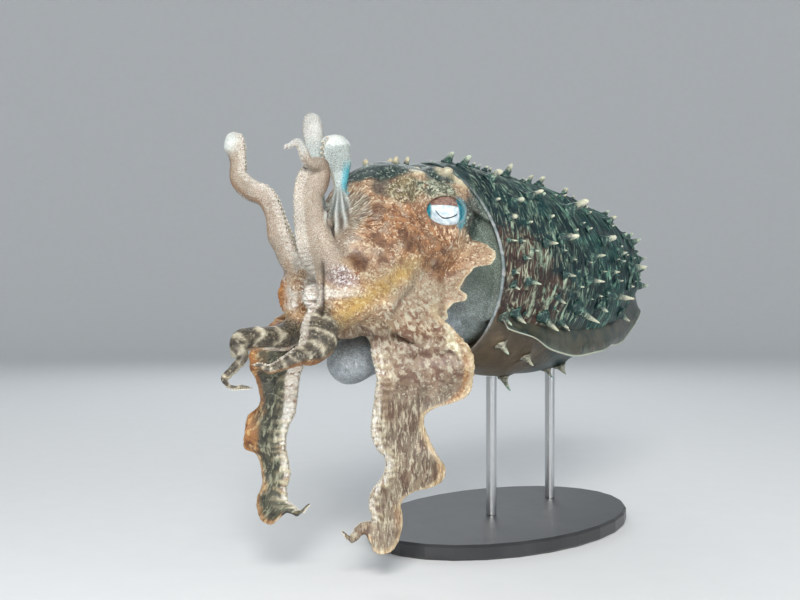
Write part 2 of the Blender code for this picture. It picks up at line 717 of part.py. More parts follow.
def arm_tangent(arm, at):
    """The way an arm's sections face: along its route, or straight down where it is level."""
    last = len(arm["route"]) - 1
    ahead = Vector(smooth_curve(arm["route"], min(at + 0.08, last))[:3])
    behind = Vector(smooth_curve(arm["route"], max(at - 0.08, 0))[:3])
    tangent = (ahead - behind).normalized()
    if "level" in arm:
        start, end = arm["level"]
        hold = max(0.0, min(1.0, at - start + 1, end + 1 - at))
        tangent = (tangent * (1 - hold) + Vector((0, 0, -1)) * hold).normalized()
    return tangent


def back_ways(arm):
    """The way of the arm's back all along it, turned with its bends and drawn to aboral."""
    wanted = Vector(arm["aboral"]).normalized()
    way = wanted
    ways = []
    for step in range((len(arm["route"]) - 1) * BACK_STEPS + 1):
        tangent = arm_tangent(arm, step / BACK_STEPS)
        way = (way - tangent * way.dot(tangent)).normalized()
        target = wanted - tangent * wanted.dot(tangent)
        if target.length > 0.4 and target.dot(way) > 0:
            way = (way + target * 0.3).normalized()
        ways.append(way)
    return ways


def arm_frame(arm, at):
    """Centre, aboral way, side way, ring normal and sizes at a place on an arm's route."""
    x, y, z, depth, width = smooth_curve(arm["route"], at)
    tangent = arm_tangent(arm, at)
    if "back" not in arm:
        arm["back"] = back_ways(arm)
    start = min(int(at * BACK_STEPS), len(arm["back"]) - 2)
    aboral = arm["back"][start].lerp(arm["back"][start + 1], at * BACK_STEPS - start)
    aboral = (aboral - tangent * aboral.dot(tangent)).normalized()
    side = tangent.cross(aboral).normalized()
    return Vector((x, y, z)), aboral, side, tangent, max(depth, 0.6), max(width, 0.6)


def arm_ring(arm, at, shift=0.0):
    """One section of an arm: flat sucker face, round flanks, and the keel's thin edge."""
    centre, aboral, side, tangent, depth, width = arm_frame(arm, at)
    keel = keel_reach(arm, at)
    blade = min(1.0, keel / 8)
    edge = width * 0.40 * (1 - blade) + KEEL_EDGE / 2 * blade
    flank = width * 0.85 * (1 - blade) + KEEL_THICK / 2 * blade
    half = (
        (depth + keel, edge),
        (depth * 0.7 + keel * 0.48, flank),
        (depth * 0.15, width * (1.0 - 0.08 * blade)),
        (-depth * 0.65, width * 0.88),
        (-depth, width * 0.45),
    )
    outline = list(half) + [(k, -t) for k, t in reversed(half)]
    centre = centre + tangent * shift
    return [centre + aboral * k + side * t for k, t in outline]


def arm_length_mesh(arm, start, end, first_shift, last_shift):
    """A closed length of an arm between two places on its route."""
    steps = arm.get("steps", STOP_STEPS)
    inner = [step / steps for step in range(math.ceil(start * steps + 0.4),
                                            math.floor(end * steps - 0.4) + 1)]
    rings = [arm_ring(arm, start, first_shift)]
    rings += [arm_ring(arm, at) for at in inner]
    rings.append(arm_ring(arm, end, last_shift))
    return loft(rings, True)


def sucker_places(arm):
    """Places along an arm where a pair of suckers sits, closer together towards the tip."""
    last = len(arm["route"]) - 1
    steps = [SUCKER_START + (last - 0.3 - SUCKER_START) * k / 60 for k in range(61)]
    points = [Vector(smooth_curve(arm["route"], at)[:3]) for at in steps]
    run = [0.0]
    for near, far in zip(points, points[1:]):
        run.append(run[-1] + (far - near).length)
    places = []
    for number in range(SUCKER_PAIRS):
        share = 1 - (1 - (number + 0.3) / SUCKER_PAIRS) ** SUCKER_CROWDING
        index = next(k for k, length in enumerate(run) if length >= share * run[-1])
        width = arm_frame(arm, steps[index])[5]
        low, high = max(0, index - 3), min(60, index + 3)
        pace = (run[high] - run[low]) / (steps[high] - steps[low])
        places.append((steps[index], max(SUCKER_LEAST, width * SUCKER_SHARE), pace))
    return places


def sucker(name, arm, at, radius, way, home):
    """A low cup with a sunk floor, on one of the two rows."""
    centre, aboral, side, tangent, depth, width = arm_frame(arm, at)
    lean = (-aboral + side * way * 0.35).normalized()
    foot = centre - aboral * depth * 0.93 + side * way * max(width * 0.45, radius * 1.08)
    across = tangent
    other = lean.cross(across).normalized()
    across = other.cross(lean)
    body = bmesh.new()
    loops = []
    for rise, share in ((-SUCKER_SINK, 0.8), (SUCKER_HEIGHT, 1.0)):
        points = [foot + lean * rise * radius
                  + (across * math.cos(a) + other * math.sin(a)) * radius * share
                  for a in around(SUCKER_SIDES)]
        loops.append(ring(body, points))
    bmesh.ops.bridge_loops(body, edges=loops[0][0] + loops[1][0])
    body.faces.new(loops[0][1])
    floor = body.verts.new((foot + lean * radius * SUCKER_HEIGHT * 0.35) * MM)
    rim = loops[1][1]
    for near, far in zip(rim, rim[1:] + rim[:1]):
        body.faces.new((near, far, floor))
    bmesh.ops.triangulate(body, faces=body.faces)
    return object_from(body, name, home)


def suckers_between(name, arm, start, end, home):
    """The suckers of one length, none of them across its ends."""
    made = []
    for at, radius, pace in sucker_places(arm):
        margin = (radius * SUCKER_CLEAR + 1) / pace
        if end < len(arm["route"]) - 1:
            at = min(at, end - margin) if at < end else at
        if start > ROOT_START:
            at = max(at, start + margin) if at > start else at
        if start < at < end:
            for way in (-1, 1):
                made.append(sucker(f"{name}_sucker_{len(made)}", arm, at, radius, way, home))
    return made


def arm_parts(name, arm, home):
    """The length inside the crown, then the free lengths, each a closed body."""
    last = len(arm["route"]) - 1
    places = (ROOT_START, *arm["cuts"], float(last))
    names = (name + "_root", name + "_lower", name + "_upper", name + "_tip")
    if len(places) == 4:
        names = (name + "_root", name + "_lower", name + "_tip")
    made = []
    for word, start, end in zip(names, places, places[1:]):
        first = GAP / 2 if start > ROOT_START else 0.0
        final = -GAP / 2 if end < last else 0.0
        mesh = arm_length_mesh(arm, start, end, first, final)
        made.append(object_from(mesh, word, home, "arm"))
        pieces = suckers_between(word, arm, start, end, home)
        if start > ROOT_START:
            combine(made[-1], pieces, "UNION")
        else:
            root_suckers = pieces
    return made, root_suckers


def web_loop(arm, at, size):
    """A small loop inside an arm near its back, from which a web spans to the next arm."""
    centre, aboral, side, tangent, depth, width = arm_frame(arm, at)
    middle = centre + aboral * depth * WEB_BACK
    return [middle + aboral * k * depth * size + side * t * width * size
            for k, t in ((1, 0), (0, 1), (-1, 0), (0, -1))]


def web_bodies(name, first, second, bulge, reach, home):
    """The webs between two neighbouring arms: one hull for each stretch along them."""
    made = []
    count = len(reach) - 1
    for step in range(count):
        body = bmesh.new()
        for way in (step, step + 1):
            near, far = reach[way]
            size = WEB_SIZE * (1 - 0.5 * way / count)
            loops = (web_loop(first, near, size), web_loop(second, far, size))
            middle = [(p + q) / 2 + Vector((0, bulge, 0)) for p, q in zip(*loops)]
            for point in loops[0] + loops[1] + (middle if bulge else []):
                body.verts.new(point * MM)
        bmesh.ops.convex_hull(body, input=body.verts)
        made.append(object_from(body, f"{name}_{step}", home))
    return made


def crown_and_arms(home):
    """The webbed ring of arm roots as one node, and the free lengths of the eight arms."""
    core = object_from(
        section_loft(CROWN_SECTIONS, 2, CROWN_WAY, unit(MOUTH_WAY), GAP), "arm_crown", home, "head")
    roots, free, suckers = [], [], []
    for name, arm in ARMS.items():
        (first, *others), root_suckers = arm_parts(name, arm, home)
        roots.append(first)
        free.extend(others)
        suckers.extend(root_suckers)
    webs = []
    for number, (first, second, bulge, reach) in enumerate(WEBS):
        webs += web_bodies(f"web_{number}", ARMS[first], ARMS[second], bulge, reach, home)
    combine(core, roots + webs, "UNION", "EXACT")
    combine(core, suckers, "UNION")
    combine(core, [swollen_copy(arm, home) for arm in free], "DIFFERENCE")
    return core, free


# Funnel and mouth


def funnel_body(home, others):
    rings = []
    count = 2 * (len(FUNNEL) - 1)
    for step in range(count + 1):
        at = step / 2
        x, y, z, radius = smooth_curve(FUNNEL, at)
        ahead = Vector(smooth_curve(FUNNEL, min(at + 0.1, len(FUNNEL) - 1))[:3])
        behind = Vector(smooth_curve(FUNNEL, max(at - 0.1, 0))[:3])
        tangent = (ahead - behind).normalized()
        rings.append(section_ring((x, y, z, radius, radius, radius), tangent, FUNNEL_SIDES))
    funnel = object_from(loft(rings), "funnel", home, "funnel")
    way = unit(FUNNEL_MOUTH_WAY)
    turn = way.to_track_quat("Z", "Y").to_matrix().to_4x4()
    mouth = ball("funnel_mouth", FUNNEL_MOUTH_AT,
                 (FUNNEL_MOUTH_RADIUS, FUNNEL_MOUTH_RADIUS * 0.7, 12), home, turn=turn)
    cutters = [swollen_copy(other, home) for other in others] + [mouth]
    return combine(funnel, cutters, "DIFFERENCE")


def mouth_bodies(home, crown):
    """The ring of lips, sunk in a pocket in the middle of the crown, and the beak's tip."""
    centre = Vector(MOUTH_CENTRE)
    turn = unit(MOUTH_WAY).to_track_quat("Z", "Y").to_matrix().to_4x4()
    lips = bmesh.new()
    bmesh.ops.create_uvsphere(lips, u_segments=18, v_segments=7, radius=1)
    for vert in lips.verts:
        angle = math.atan2(vert.co.y, vert.co.x)
        frill = 1 + 0.07 * math.sin(LIP_FOLDS * angle)
        dish = 0.62 * math.exp(-((math.hypot(vert.co.x, vert.co.y) / 0.45) ** 2))
        vert.co.x *= frill
        vert.co.y *= frill
        vert.co.z -= dish if vert.co.z > 0 else 0
    size = Matrix.Diagonal((LIP_RADIUS * MM, LIP_RADIUS * MM, LIP_HEIGHT * MM, 1))
    bmesh.ops.transform(lips, matrix=Matrix.Translation(centre * MM) @ turn @ size,
                        verts=lips.verts)
    lips = object_from(lips, "mouth_lips", home, "mouth")
    combine(crown, [swollen_copy(lips, home)], "DIFFERENCE")
    beak = bmesh.new()
    bmesh.ops.create_cone(beak, cap_ends=True, segments=10, radius1=BEAK_ROOT * MM,
                          radius2=0.6 * MM, depth=BEAK_LENGTH * MM)
    tip = centre + turn @ Vector((0, 0, LIP_HEIGHT * 0.8))
    bmesh.ops.transform(beak, matrix=Matrix.Translation(tip * MM) @ turn, verts=beak.verts)
    beak = object_from(beak, "beak", home, "beak")
    combine(beak, [swollen_copy(lips, home)], "DIFFERENCE")
    return lips, beak


# Stand


def stand_bodies(home, mantle):
    """A flat oval base and two rods that end under the belly."""
    floor = -AXIS_HEIGHT
    base = bmesh.new()
    bmesh.ops.create_cone(base, cap_ends=True, segments=28, radius1=0.5, radius2=0.5, depth=1)
    size = Matrix.Diagonal((BASE_LENGTH * MM, BASE_WIDTH * MM, BASE_THICK * MM, 1))
    middle = Vector((BASE_CENTRE_X, 0, floor + BASE_THICK / 2))
    bmesh.ops.transform(base, matrix=Matrix.Translation(middle * MM) @ size, verts=base.verts)
    base = object_from(base, "stand_base", home, "stand")
    edge = base.modifiers.new("edge", "BEVEL")
    edge.width = BASE_EDGE * MM
    edge.segments = 1
    edge.limit_method = "ANGLE"
    rods = []
    for number, x in enumerate(ROD_PLACES, 1):
        foot = floor + BASE_THICK + GAP
        rod = bmesh.new()
        bmesh.ops.create_cone(rod, cap_ends=True, segments=16, radius1=ROD_RADIUS * MM,
                              radius2=ROD_RADIUS * MM, depth=-foot * MM)
        bmesh.ops.translate(rod, verts=rod.verts, vec=Vector((x, 0, foot / 2)) * MM)
        rod = object_from(rod, f"stand_rod_{number}", home, "rod")
        rods.append(combine(rod, [swollen_copy(mantle, home)], "DIFFERENCE"))
    return [base] + rods


def build():
    clear_scene()
    home = collection("cuttlefish")
    mantle = mantle_body(home)
    fins = [fin_body(side, home, mantle) for side in (-1, 1)]
    neck, head, eyes = head_and_eyes(home)
    combine(neck, [swollen_copy(mantle, home)], "DIFFERENCE")
    crown, free_arms = crown_and_arms(home)
    funnel = funnel_body(home, [mantle, neck, head, crown])
    combine(head, [swollen_copy(part, home) for part in [crown] + free_arms], "DIFFERENCE")
    lips, beak = mouth_bodies(home, crown)
    stand = stand_bodies(home, mantle)
    lift = bpy.data.objects.new("body_height", None)
    home.objects.link(lift)
    lift.location = (-BASE_CENTRE_X * MM, 0, AXIS_HEIGHT * MM)
    nodes = [mantle, *fins, neck, head, *eyes, crown, *free_arms, funnel, lips, beak,
             *stand]
    for node in nodes:
        node.parent = lift
        node.data.shade_smooth()
    bpy.context.view_layer.update()
    return nodes


build()
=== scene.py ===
"""Looks for the broad-armed cuttlefish on its display stand.

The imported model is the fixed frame: metres, +Z up, head to -X, the animal's left to -Y.
Body sizes are given in millimetres about the centre of the mantle opening.
"""

import itertools
import math
import random

import bmesh
import bpy
import numpy as np
from mathutils import Matrix, Vector
from mathutils.kdtree import KDTree


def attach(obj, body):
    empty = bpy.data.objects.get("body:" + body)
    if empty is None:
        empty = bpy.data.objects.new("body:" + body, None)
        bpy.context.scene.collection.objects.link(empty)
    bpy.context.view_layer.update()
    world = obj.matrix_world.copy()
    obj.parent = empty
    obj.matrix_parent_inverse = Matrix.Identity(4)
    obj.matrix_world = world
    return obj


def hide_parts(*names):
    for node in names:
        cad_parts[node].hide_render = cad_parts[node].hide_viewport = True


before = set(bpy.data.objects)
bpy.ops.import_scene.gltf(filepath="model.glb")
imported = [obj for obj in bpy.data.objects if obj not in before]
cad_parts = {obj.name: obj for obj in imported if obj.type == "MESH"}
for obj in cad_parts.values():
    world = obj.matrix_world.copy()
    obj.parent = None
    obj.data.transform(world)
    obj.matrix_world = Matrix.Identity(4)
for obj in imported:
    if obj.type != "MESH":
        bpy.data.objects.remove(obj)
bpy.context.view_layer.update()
scene = bpy.context.scene


# Camera
# Level, ahead of the animal's left side, so that the arms stand to the left of the
# picture and the mantle runs away to the right.
camera = bpy.data.objects.new("camera", bpy.data.cameras.new("camera"))
camera.data.lens = 47.25
camera.data.sensor_width = 36
camera.location = (-0.779, -0.4954, 0.197)
camera.rotation_euler = (math.radians(90), 0, math.radians(-52))
scene.collection.objects.link(camera)
scene.camera = camera


# Room
# A plain pale cove, whose floor curves up into a wall all round, with soft light: a broad
# key above the camera's left, a weaker fill on the right and a faint one behind.


class Value:
    """A socket in a material, on which sums and products add their own nodes."""

    def __init__(self, finish, socket):
        self.finish = finish
        self.socket = socket

    def maths(self, operation, other=0.0, swapped=False):
        first, second = (other, self) if swapped else (self, other)
        return self.finish.node("ShaderNodeMath", {"operation": operation},
                                {0: first, 1: second})

    def __add__(self, other):
        return self.maths("ADD", other)

    def __radd__(self, other):
        return self.maths("ADD", other)

    def __sub__(self, other):
        return self.maths("SUBTRACT", other)

    def __rsub__(self, other):
        return self.maths("SUBTRACT", other, True)

    def __mul__(self, other):
        return self.maths("MULTIPLY", other)

    def __rmul__(self, other):
        return self.maths("MULTIPLY", other)

    def step(self, low, high):
        """0 below low, 1 above high, and a smooth rise between."""
        return self.finish.node("ShaderNodeMapRange", {"interpolation_type": "SMOOTHSTEP"},
                                {"Value": self, "From Min": low, "From Max": high})


class Finish:
    """A material in the making."""

    def __init__(self, name, roughness=0.5, **constants):
        self.material = bpy.data.materials.new(name)
        self.material.use_nodes = True
        self.tree = self.material.node_tree
        self.shader = self.tree.nodes["Principled BSDF"]
        self.shader.inputs["Roughness"].default_value = roughness
        for word, value in constants.items():
            self.shader.inputs[word.replace("_", " ")].default_value = value

    def node(self, kind, settings=(), inputs=(), output=0):
        made = self.tree.nodes.new(kind)
        for word, value in dict(settings).items():
            setattr(made, word, value)
        for word, value in dict(inputs).items():
            self.feed(made.inputs[word], value)
        return Value(self, made.outputs[output])

    def feed(self, socket, value):
        if isinstance(value, Value):
            self.tree.links.new(value.socket, socket)
        elif isinstance(value, tuple) and len(socket.default_value) == 4:
            socket.default_value = (*value, 1)
        else:
            socket.default_value = value

    def give(self, **sockets):
        for word, value in sockets.items():
            self.feed(self.shader.inputs[word.replace("_", " ")], value)

    def place(self, stretch=(1, 1, 1), turn=(0, 0, 0)):
        """Object coordinates, stretched and turned."""
        here = self.node("ShaderNodeTexCoord", output="Object")
        return self.node("ShaderNodeMapping", {},
                         {"Vector": here, "Scale": stretch, "Rotation": turn})

    def bent(self, where, scale, amount):
        """Coordinates pushed about by noise."""
        push = self.node("ShaderNodeTexNoise", {},
                         {"Vector": where, "Scale": scale, "Detail": 3.0}, "Color")
        return self.node("ShaderNodeVectorMath", {"operation": "MULTIPLY_ADD"},
                         {0: push, 1: (amount, amount, amount), 2: where})

    def noise(self, scale, detail=3.0, where=None, warp=0.0, rough=0.55):
        return self.node("ShaderNodeTexNoise", {},
                         {"Vector": where or self.place(), "Scale": scale, "Detail": detail,
                          "Distortion": warp, "Roughness": rough})

    def cells(self, scale, feature="F1", where=None):
        return self.node("ShaderNodeTexVoronoi", {"feature": feature},
                         {"Vector": where or self.place(), "Scale": scale}, "Distance")

    def painted(self, name, output="Fac"):
        """A share, colour or vector kept on the mesh by its maker."""
        return self.node("ShaderNodeAttribute", {"attribute_name": name}, {}, output)

    def mix(self, share, first, second, blend="MIX"):
        return self.node("ShaderNodeMix", {"data_type": "RGBA", "blend_type": blend,
                                           "clamp_factor": True},
                         {0: share, 6: first, 7: second}, 2)

    def bump(self, height, distance, strength=1.0):
        self.give(Normal=self.node("ShaderNodeBump", {},
                                   {"Height": height, "Distance": distance,
                                    "Strength": strength}))


def light(name, place, target, size, power, colour):
    lamp = bpy.data.lights.new(name, "AREA")
    lamp.size = size
    lamp.energy = power
    lamp.color = colour
    made = bpy.data.objects.new(name, lamp)
    made.location = place
    way = Vector(target) - Vector(place)
    made.rotation_euler = way.to_track_quat("-Z", "Y").to_euler()
    scene.collection.objects.link(made)


light("key", (-1.55, -1.05, 1.15), (-0.15, 0, 0.22), 0.8, 43, (1.0, 0.985, 0.96))
light("fill", (0.1, -2.2, 0.7), (0.0, 0, 0.2), 1.5, 10, (0.93, 0.97, 1.0))
light("rear", (1.2, 1.2, 1.4), (0.0, 0, 0.25), 1.2, 9, (0.93, 0.97, 1.0))
scene.view_settings.view_transform = "Standard"
scene.world = bpy.data.worlds.new("sky")
scene.world.use_nodes = True
sky = scene.world.node_tree.nodes["Background"]
sky.inputs["Color"].default_value = (0.84, 0.90, 0.94, 1)
sky.inputs["Strength"].default_value = 0.42

COVE_RADIUS = 4.6
COVE_BEND = 1.6
COVE_HEIGHT = 2.6
cove_finish = Finish("cove_paint", 0.8)
cove_grain = cove_finish.noise(35, 4)
cove_finish.give(Base_Color=cove_finish.mix(cove_grain, (0.78, 0.79, 0.80), (0.82, 0.83, 0.84)))
cove_finish.bump(cove_grain, 0.0005, 0.2)
body = bmesh.new()
profile = [body.verts.new((0, 0, 0))]
for step in range(13):
    turn = math.pi / 2 * step / 12
    profile.append(body.verts.new((COVE_RADIUS - COVE_BEND + COVE_BEND * math.sin(turn), 0,
                                   COVE_BEND * (1 - math.cos(turn)))))
profile.append(body.verts.new((COVE_RADIUS, 0, COVE_HEIGHT)))
strip = [body.edges.new(pair) for pair in zip(profile, profile[1:])]
bmesh.ops.spin(body, geom=profile + strip, cent=(0, 0, 0), axis=(0, 0, 1),
               angle=2 * math.pi, steps=96, use_merge=True)
bmesh.ops.remove_doubles(body, verts=body.verts, dist=1e-5)
cove_mesh = bpy.data.meshes.new("cove")
body.to_mesh(cove_mesh)
body.free()
cove_mesh.shade_smooth()
cove_mesh.materials.append(cove_finish.material)
cove = bpy.data.objects.new("cove", cove_mesh)
scene.collection.objects.link(cove)


# Stand
# The base is a lacquered board with a fine satin grain, and the two rods are brushed
# steel, drilled into it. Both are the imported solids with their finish.
base_finish = Finish("base_lacquer", 0.42, Coat_Weight=0.25, Coat_Roughness=0.3)
base_grain = base_finish.noise(900, 3)
base_wear = base_finish.noise(30, 5, warp=0.6)
base_finish.give(
    Base_Color=base_finish.mix(base_wear.step(0.35, 0.75), (0.020, 0.021, 0.023),
                               (0.034, 0.035, 0.037)),
    Roughness=base_wear * 0.18 + base_grain * 0.12 + 0.28)
base_finish.bump(base_grain, 0.00015, 0.35)

rod_finish = Finish("rod_steel", 0.3, Metallic=1.0)
rod_lines = rod_finish.noise(60, 4, rod_finish.place((40, 40, 1)))
rod_finish.give(
    Base_Color=rod_finish.mix(rod_lines, (0.42, 0.43, 0.44), (0.66, 0.67, 0.68)),
    Roughness=rod_lines * 0.25 + 0.2)
rod_finish.bump(rod_lines, 0.0001, 0.4)

for node, finish in (("stand_base", base_finish), ("stand_rod_1", rod_finish),
                     ("stand_rod_2", rod_finish)):
    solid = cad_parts[node]
    for used in solid.material_slots:
        used.link = "OBJECT"
        used.material = finish.material


# Mantle
# The bag of the body, covered by one thick wet skin with thin branching folds that run
# down its sides. It is a fine grid bent round the body's sections, with a rolled rim.
BODY_PLACE = np.array((-62.0, 0.0, 242.0))
MM = 0.001
MANTLE_STOPS = (
    (0, -17.5, 61, 80.5), (18, -21, 67, 85), (42, -25, 74, 86.5), (72, -27, 79, 85.5),
    (104, -27.5, 80, 84), (133, -26.5, 78, 79), (161, -24.5, 73, 73), (186, -21, 66, 64.5),
    (209, -18, 58, 55.5), (231, -15, 49, 46), (251, -11, 39.5, 37), (269, -8, 29.5, 27.5),
    (284, -5, 20, 19), (294, -4, 12.5, 11.5), (299, -4, 5, 5),
)
MANTLE_ROLL = math.radians(12)
MANTLE_ROWS = 320
MANTLE_SIDES = 256
RIM_THICKNESS = 4.5
RIM_EDGE = 2.4
RIM_SIDE = -28.0
RIM_TONGUE = 34.0
RIM_BELLY = 8.0
RIM_BACK = 90.0
RIM_DEPTH = 26.0


def curve(stops, places):
    """Catmull-Rom values at places counted in stops."""
    stops = np.asarray(stops, float)
    last = len(stops) - 1
    places = np.atleast_1d(np.asarray(places, float))
    start = np.clip(places.astype(int), 0, last - 1)
    part = (places - start)[:, None]
    p, q, r, s = (stops[np.clip(start + k, 0, last)] for k in (-1, 0, 1, 2))
    return 0.5 * (2 * q + (r - p) * part + (2 * p - 5 * q + 4 * r - s) * part**2
                  + (3 * q - p - 3 * r + s) * part**3)


def rise(value, low, high):
    """0 below low, 1 above high, and a smooth rise between."""
    part = np.clip((value - low) / (high - low), 0, 1)
    return part * part * (3 - 2 * part)


def rough(points, size, seed=0):
    """Smooth random values from -1 to 1 at points, in lumps of about the given size."""
    cell = np.asarray(points, float) / size + 512.37
    low = np.floor(cell).astype(np.int64)
    part = cell - low
    part = part * part * (3 - 2 * part)
    total = np.zeros(cell.shape[:-1])
    for corner in itertools.product((0, 1), repeat=3):
        key = low + corner
        mixed = key[..., 0] * 73856093 ^ key[..., 1] * 19349663 ^ key[..., 2] * 83492791
        mixed = (mixed ^ (seed * 26544357)) & 0x7FFFFFFF
        mixed = (mixed ^ (mixed >> 13)) * 1274126177 & 0x7FFFFFFF
        value = (mixed ^ (mixed >> 16)) / 0x3FFFFFFF - 1
        total += value * np.prod(np.where(corner, part, 1 - part), axis=-1)
    return total


def folds(points, size, seed, width=0.20):
    """1 along the lines between random cells of about the given size, 0 inside them."""
    flat = points.reshape(-1, 3) / size
    low, high = flat.min(axis=0) - 1, flat.max(axis=0) + 1
    count = int(np.prod(high - low))
    spots = np.random.default_rng(seed).uniform(low, high, (count, 3))
    tree = KDTree(count)
    for index, spot in enumerate(spots.tolist()):
        tree.insert(spot, index)
    tree.balance()
    near = np.array([[hit[2] for hit in tree.find_n(spot, 2)] for spot in flat.tolist()])
    lines = np.exp(-(((near[:, 1] - near[:, 0]) / width) ** 2))
    return lines.reshape(points.shape[:-1])


def mantle_surface(at, angle, grow=0.0):
    """Points on the mantle; the angle runs from the middle of the back to the right."""
    x, middle, half_width, half_depth = curve(MANTLE_STOPS, at).T
    across = np.sin(angle) * (half_width + grow)
    up = np.cos(angle) * (half_depth + grow)
    lean = np.maximum(0, 1 - x / RIM_BACK) ** 2
    height = np.cos(angle)
    forward = (RIM_SIDE - RIM_TONGUE * np.maximum(0, height) ** 1.5
               + RIM_BELLY * np.maximum(0, -height))
    cos, sin = math.cos(MANTLE_ROLL), math.sin(MANTLE_ROLL)
    return np.stack((x + forward * lean, across * cos - up * sin,
                     up * cos + across * sin + middle), axis=-1)


def add_grid(body, rows, **layers):
    """Adds a grid to a bmesh, bent to rows of points, or a stack of separate grids."""
    stack = rows if rows.ndim == 4 else rows[None]
    number, count, width = stack.shape[:3]
    points = (stack.reshape(-1, 3) + BODY_PLACE) * MM
    for word in layers:
        if word not in body.verts.layers.float:
            body.verts.layers.float.new(word)
    made = bmesh.ops.create_grid(body, x_segments=width - 1, y_segments=number * count - 1,
                                 size=0.5)["verts"]
    flat = np.array([vert.co[:2] for vert in made]) + 0.5
    row = np.rint(flat[:, 1] * (number * count - 1)).astype(int)
    place = row * width + np.rint(flat[:, 0] * (width - 1)).astype(int)
    if number > 1:
        owner = {vert: r // count for vert, r in zip(made, row.tolist())}
        bridges = [face for face in body.faces
                   if len({owner.get(vert) for vert in face.verts}) > 1]
    for vert, point in zip(made, points[place].tolist()):
        vert.co = point
    for word, values in layers.items():
        layer = body.verts.layers.float[word]
        values = np.broadcast_to(values, stack.shape[:3]).ravel()[place]
        for vert, value in zip(made, values.tolist()):
            vert[layer] = value
    if number > 1:
        bmesh.ops.delete(body, geom=bridges, context="FACES")


def finished(body, name, finish, slot, *nodes):
    """Welds a bmesh, makes it a shaded piece, and hides the solids it stands for."""
    bmesh.ops.remove_doubles(body, verts=body.verts, dist=2e-6)
    bmesh.ops.recalc_face_normals(body, faces=body.faces)
    mesh = bpy.data.meshes.new(name)
    body.to_mesh(mesh)
    body.free()
    mesh.shade_smooth()
    mesh.materials.append(finish.material)
    piece = bpy.data.objects.new(name, mesh)
    scene.collection.objects.link(piece)
    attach(piece, "root")
    if nodes:
        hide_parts(*nodes)
    print(name, "triangles", sum(len(p.vertices) - 2 for p in mesh.polygons))


def normals_of(rows):
    """Unit normals of a grid of points, away from the middle of its rows."""
    along = np.gradient(rows, axis=0)
    across = np.gradient(rows, axis=1)
    across[:, 0] = across[:, -1] = rows[:, 1] - rows[:, -2]
    normal = np.cross(along, across)
    normal /= np.linalg.norm(normal, axis=2, keepdims=True) + 1e-9
    middle = rows[:, :-1].mean(axis=1, keepdims=True)
    outward = np.sign((normal * (rows - middle)).sum(axis=2, keepdims=True))
    return normal * np.where(outward == 0, 1, outward)


def mantle_frame(at, angle):
    """A point on the mantle with the way out of the skin and the way to the tail."""
    step = math.radians(2)
    spots = mantle_surface(np.array((at, at + 0.1, at - 0.1, at, at, at)),
                           np.array((angle, angle, angle, angle + step, angle - step,
                                     angle + math.pi)))
    along = spots[1] - spots[2]
    out = np.cross(along, spots[3] - spots[4])
    out /= np.linalg.norm(out)
    if out @ (spots[0] - spots[5]) < 0:
        out = -out
    return spots[0], out, along / np.linalg.norm(along)


# The papillae's places come first, because the skin rises in a mound under each: mantle
# stop, degrees from the middle of the back, length, root radius, on both sides. The stops
# and degrees came from a scratch program's search over the mantle.
MANTLE_PAPILLAE = (
    (0.7, 7, 11, 3.2), (2.3, 0, 14, 3.6), (5.2, 0, 11, 3.4), (8.4, 0, 10, 3.2), (3.45, 3, 11, 3.2),
    (0.9, 24, 12, 4.0), (6.9, 20, 9, 3.2), (1.75, 34, 13, 3.4), (3.0, 37, 19, 4.8),
    (5.75, 35, 10, 3.4), (9.4, 34, 9, 3.0), (1.15, 41, 7, 2.8), (7.7, 50, 13, 4.0),
    (4.1, 55, 12, 3.8), (2.2, 59, 14, 4.4), (5.1, 62, 8, 3.0), (1.6, 64, 9, 3.2),
    (3.3, 66, 10, 3.2), (9.0, 66, 11, 3.4), (6.05, 72, 17, 4.8), (2.15, 79, 8, 3.0),
    (3.0, 80, 13, 3.8), (0.9, 87, 10, 3.4), (4.2, 88, 21, 5.4), (7.8, 90, 14, 4.2),
    (1.95, 92, 8, 3.0), (3.7, 94, 9, 3.4), (2.7, 96, 21, 5.2), (10.2, 84, 10, 3.4),
    (1.65, 104, 16, 4.6), (2.3, 105, 8, 3.0), (0.7, 106, 11, 4.0), (5.6, 103, 12, 3.8),
    (0.8, 127, 9, 3.4), (1.9, 131, 9, 3.4), (4.05, 143, 10, 3.6), (2.6, 163, 14, 3.0),
    (4.6, 160, 12, 3.0),
)
LESSER_PAPILLAE = (
    (2.85, 1, 4, 1.8), (0.65, 53, 6, 2.6), (1.2, 54, 4, 1.8), (2.3, 29, 5, 2.2),
    (2.0, 47, 5.5, 2.4), (4.3, 74, 6.5, 2.6), (2.6, 84, 5, 2.4), (0.35, 110, 9, 3.6),
    (0.4, 91, 6, 2.8), (0.4, 84, 4, 2), (0.8, 75, 4.5, 2), (1.1, 70, 4.5, 2),
    (0.75, 66, 4, 1.8), (0.35, 67, 6, 2.2), (0.45, 43, 5, 2.2), (2.75, 52, 4, 1.8),
    (3.45, 49, 4, 1.8), (2.1, 66, 4, 1.8), (2.4, 70, 4, 1.8), (3.0, 70, 4, 1.8),
    (3.1, 90, 4, 1.8), (1.95, 98, 4, 1.8), (5.1, 67, 5, 2), (5.85, 84, 6, 2.4),
    (1.2, 1, 5, 2), (1.55, 2, 5, 2), (1.9, 2, 6, 2.2), (2.85, 26, 4.5, 2),
    (3.4, 23, 5, 2), (4.0, 36, 5, 2),
)
RANDOM_PAPILLAE = 90
papilla_places = []
draw = random.Random(7)
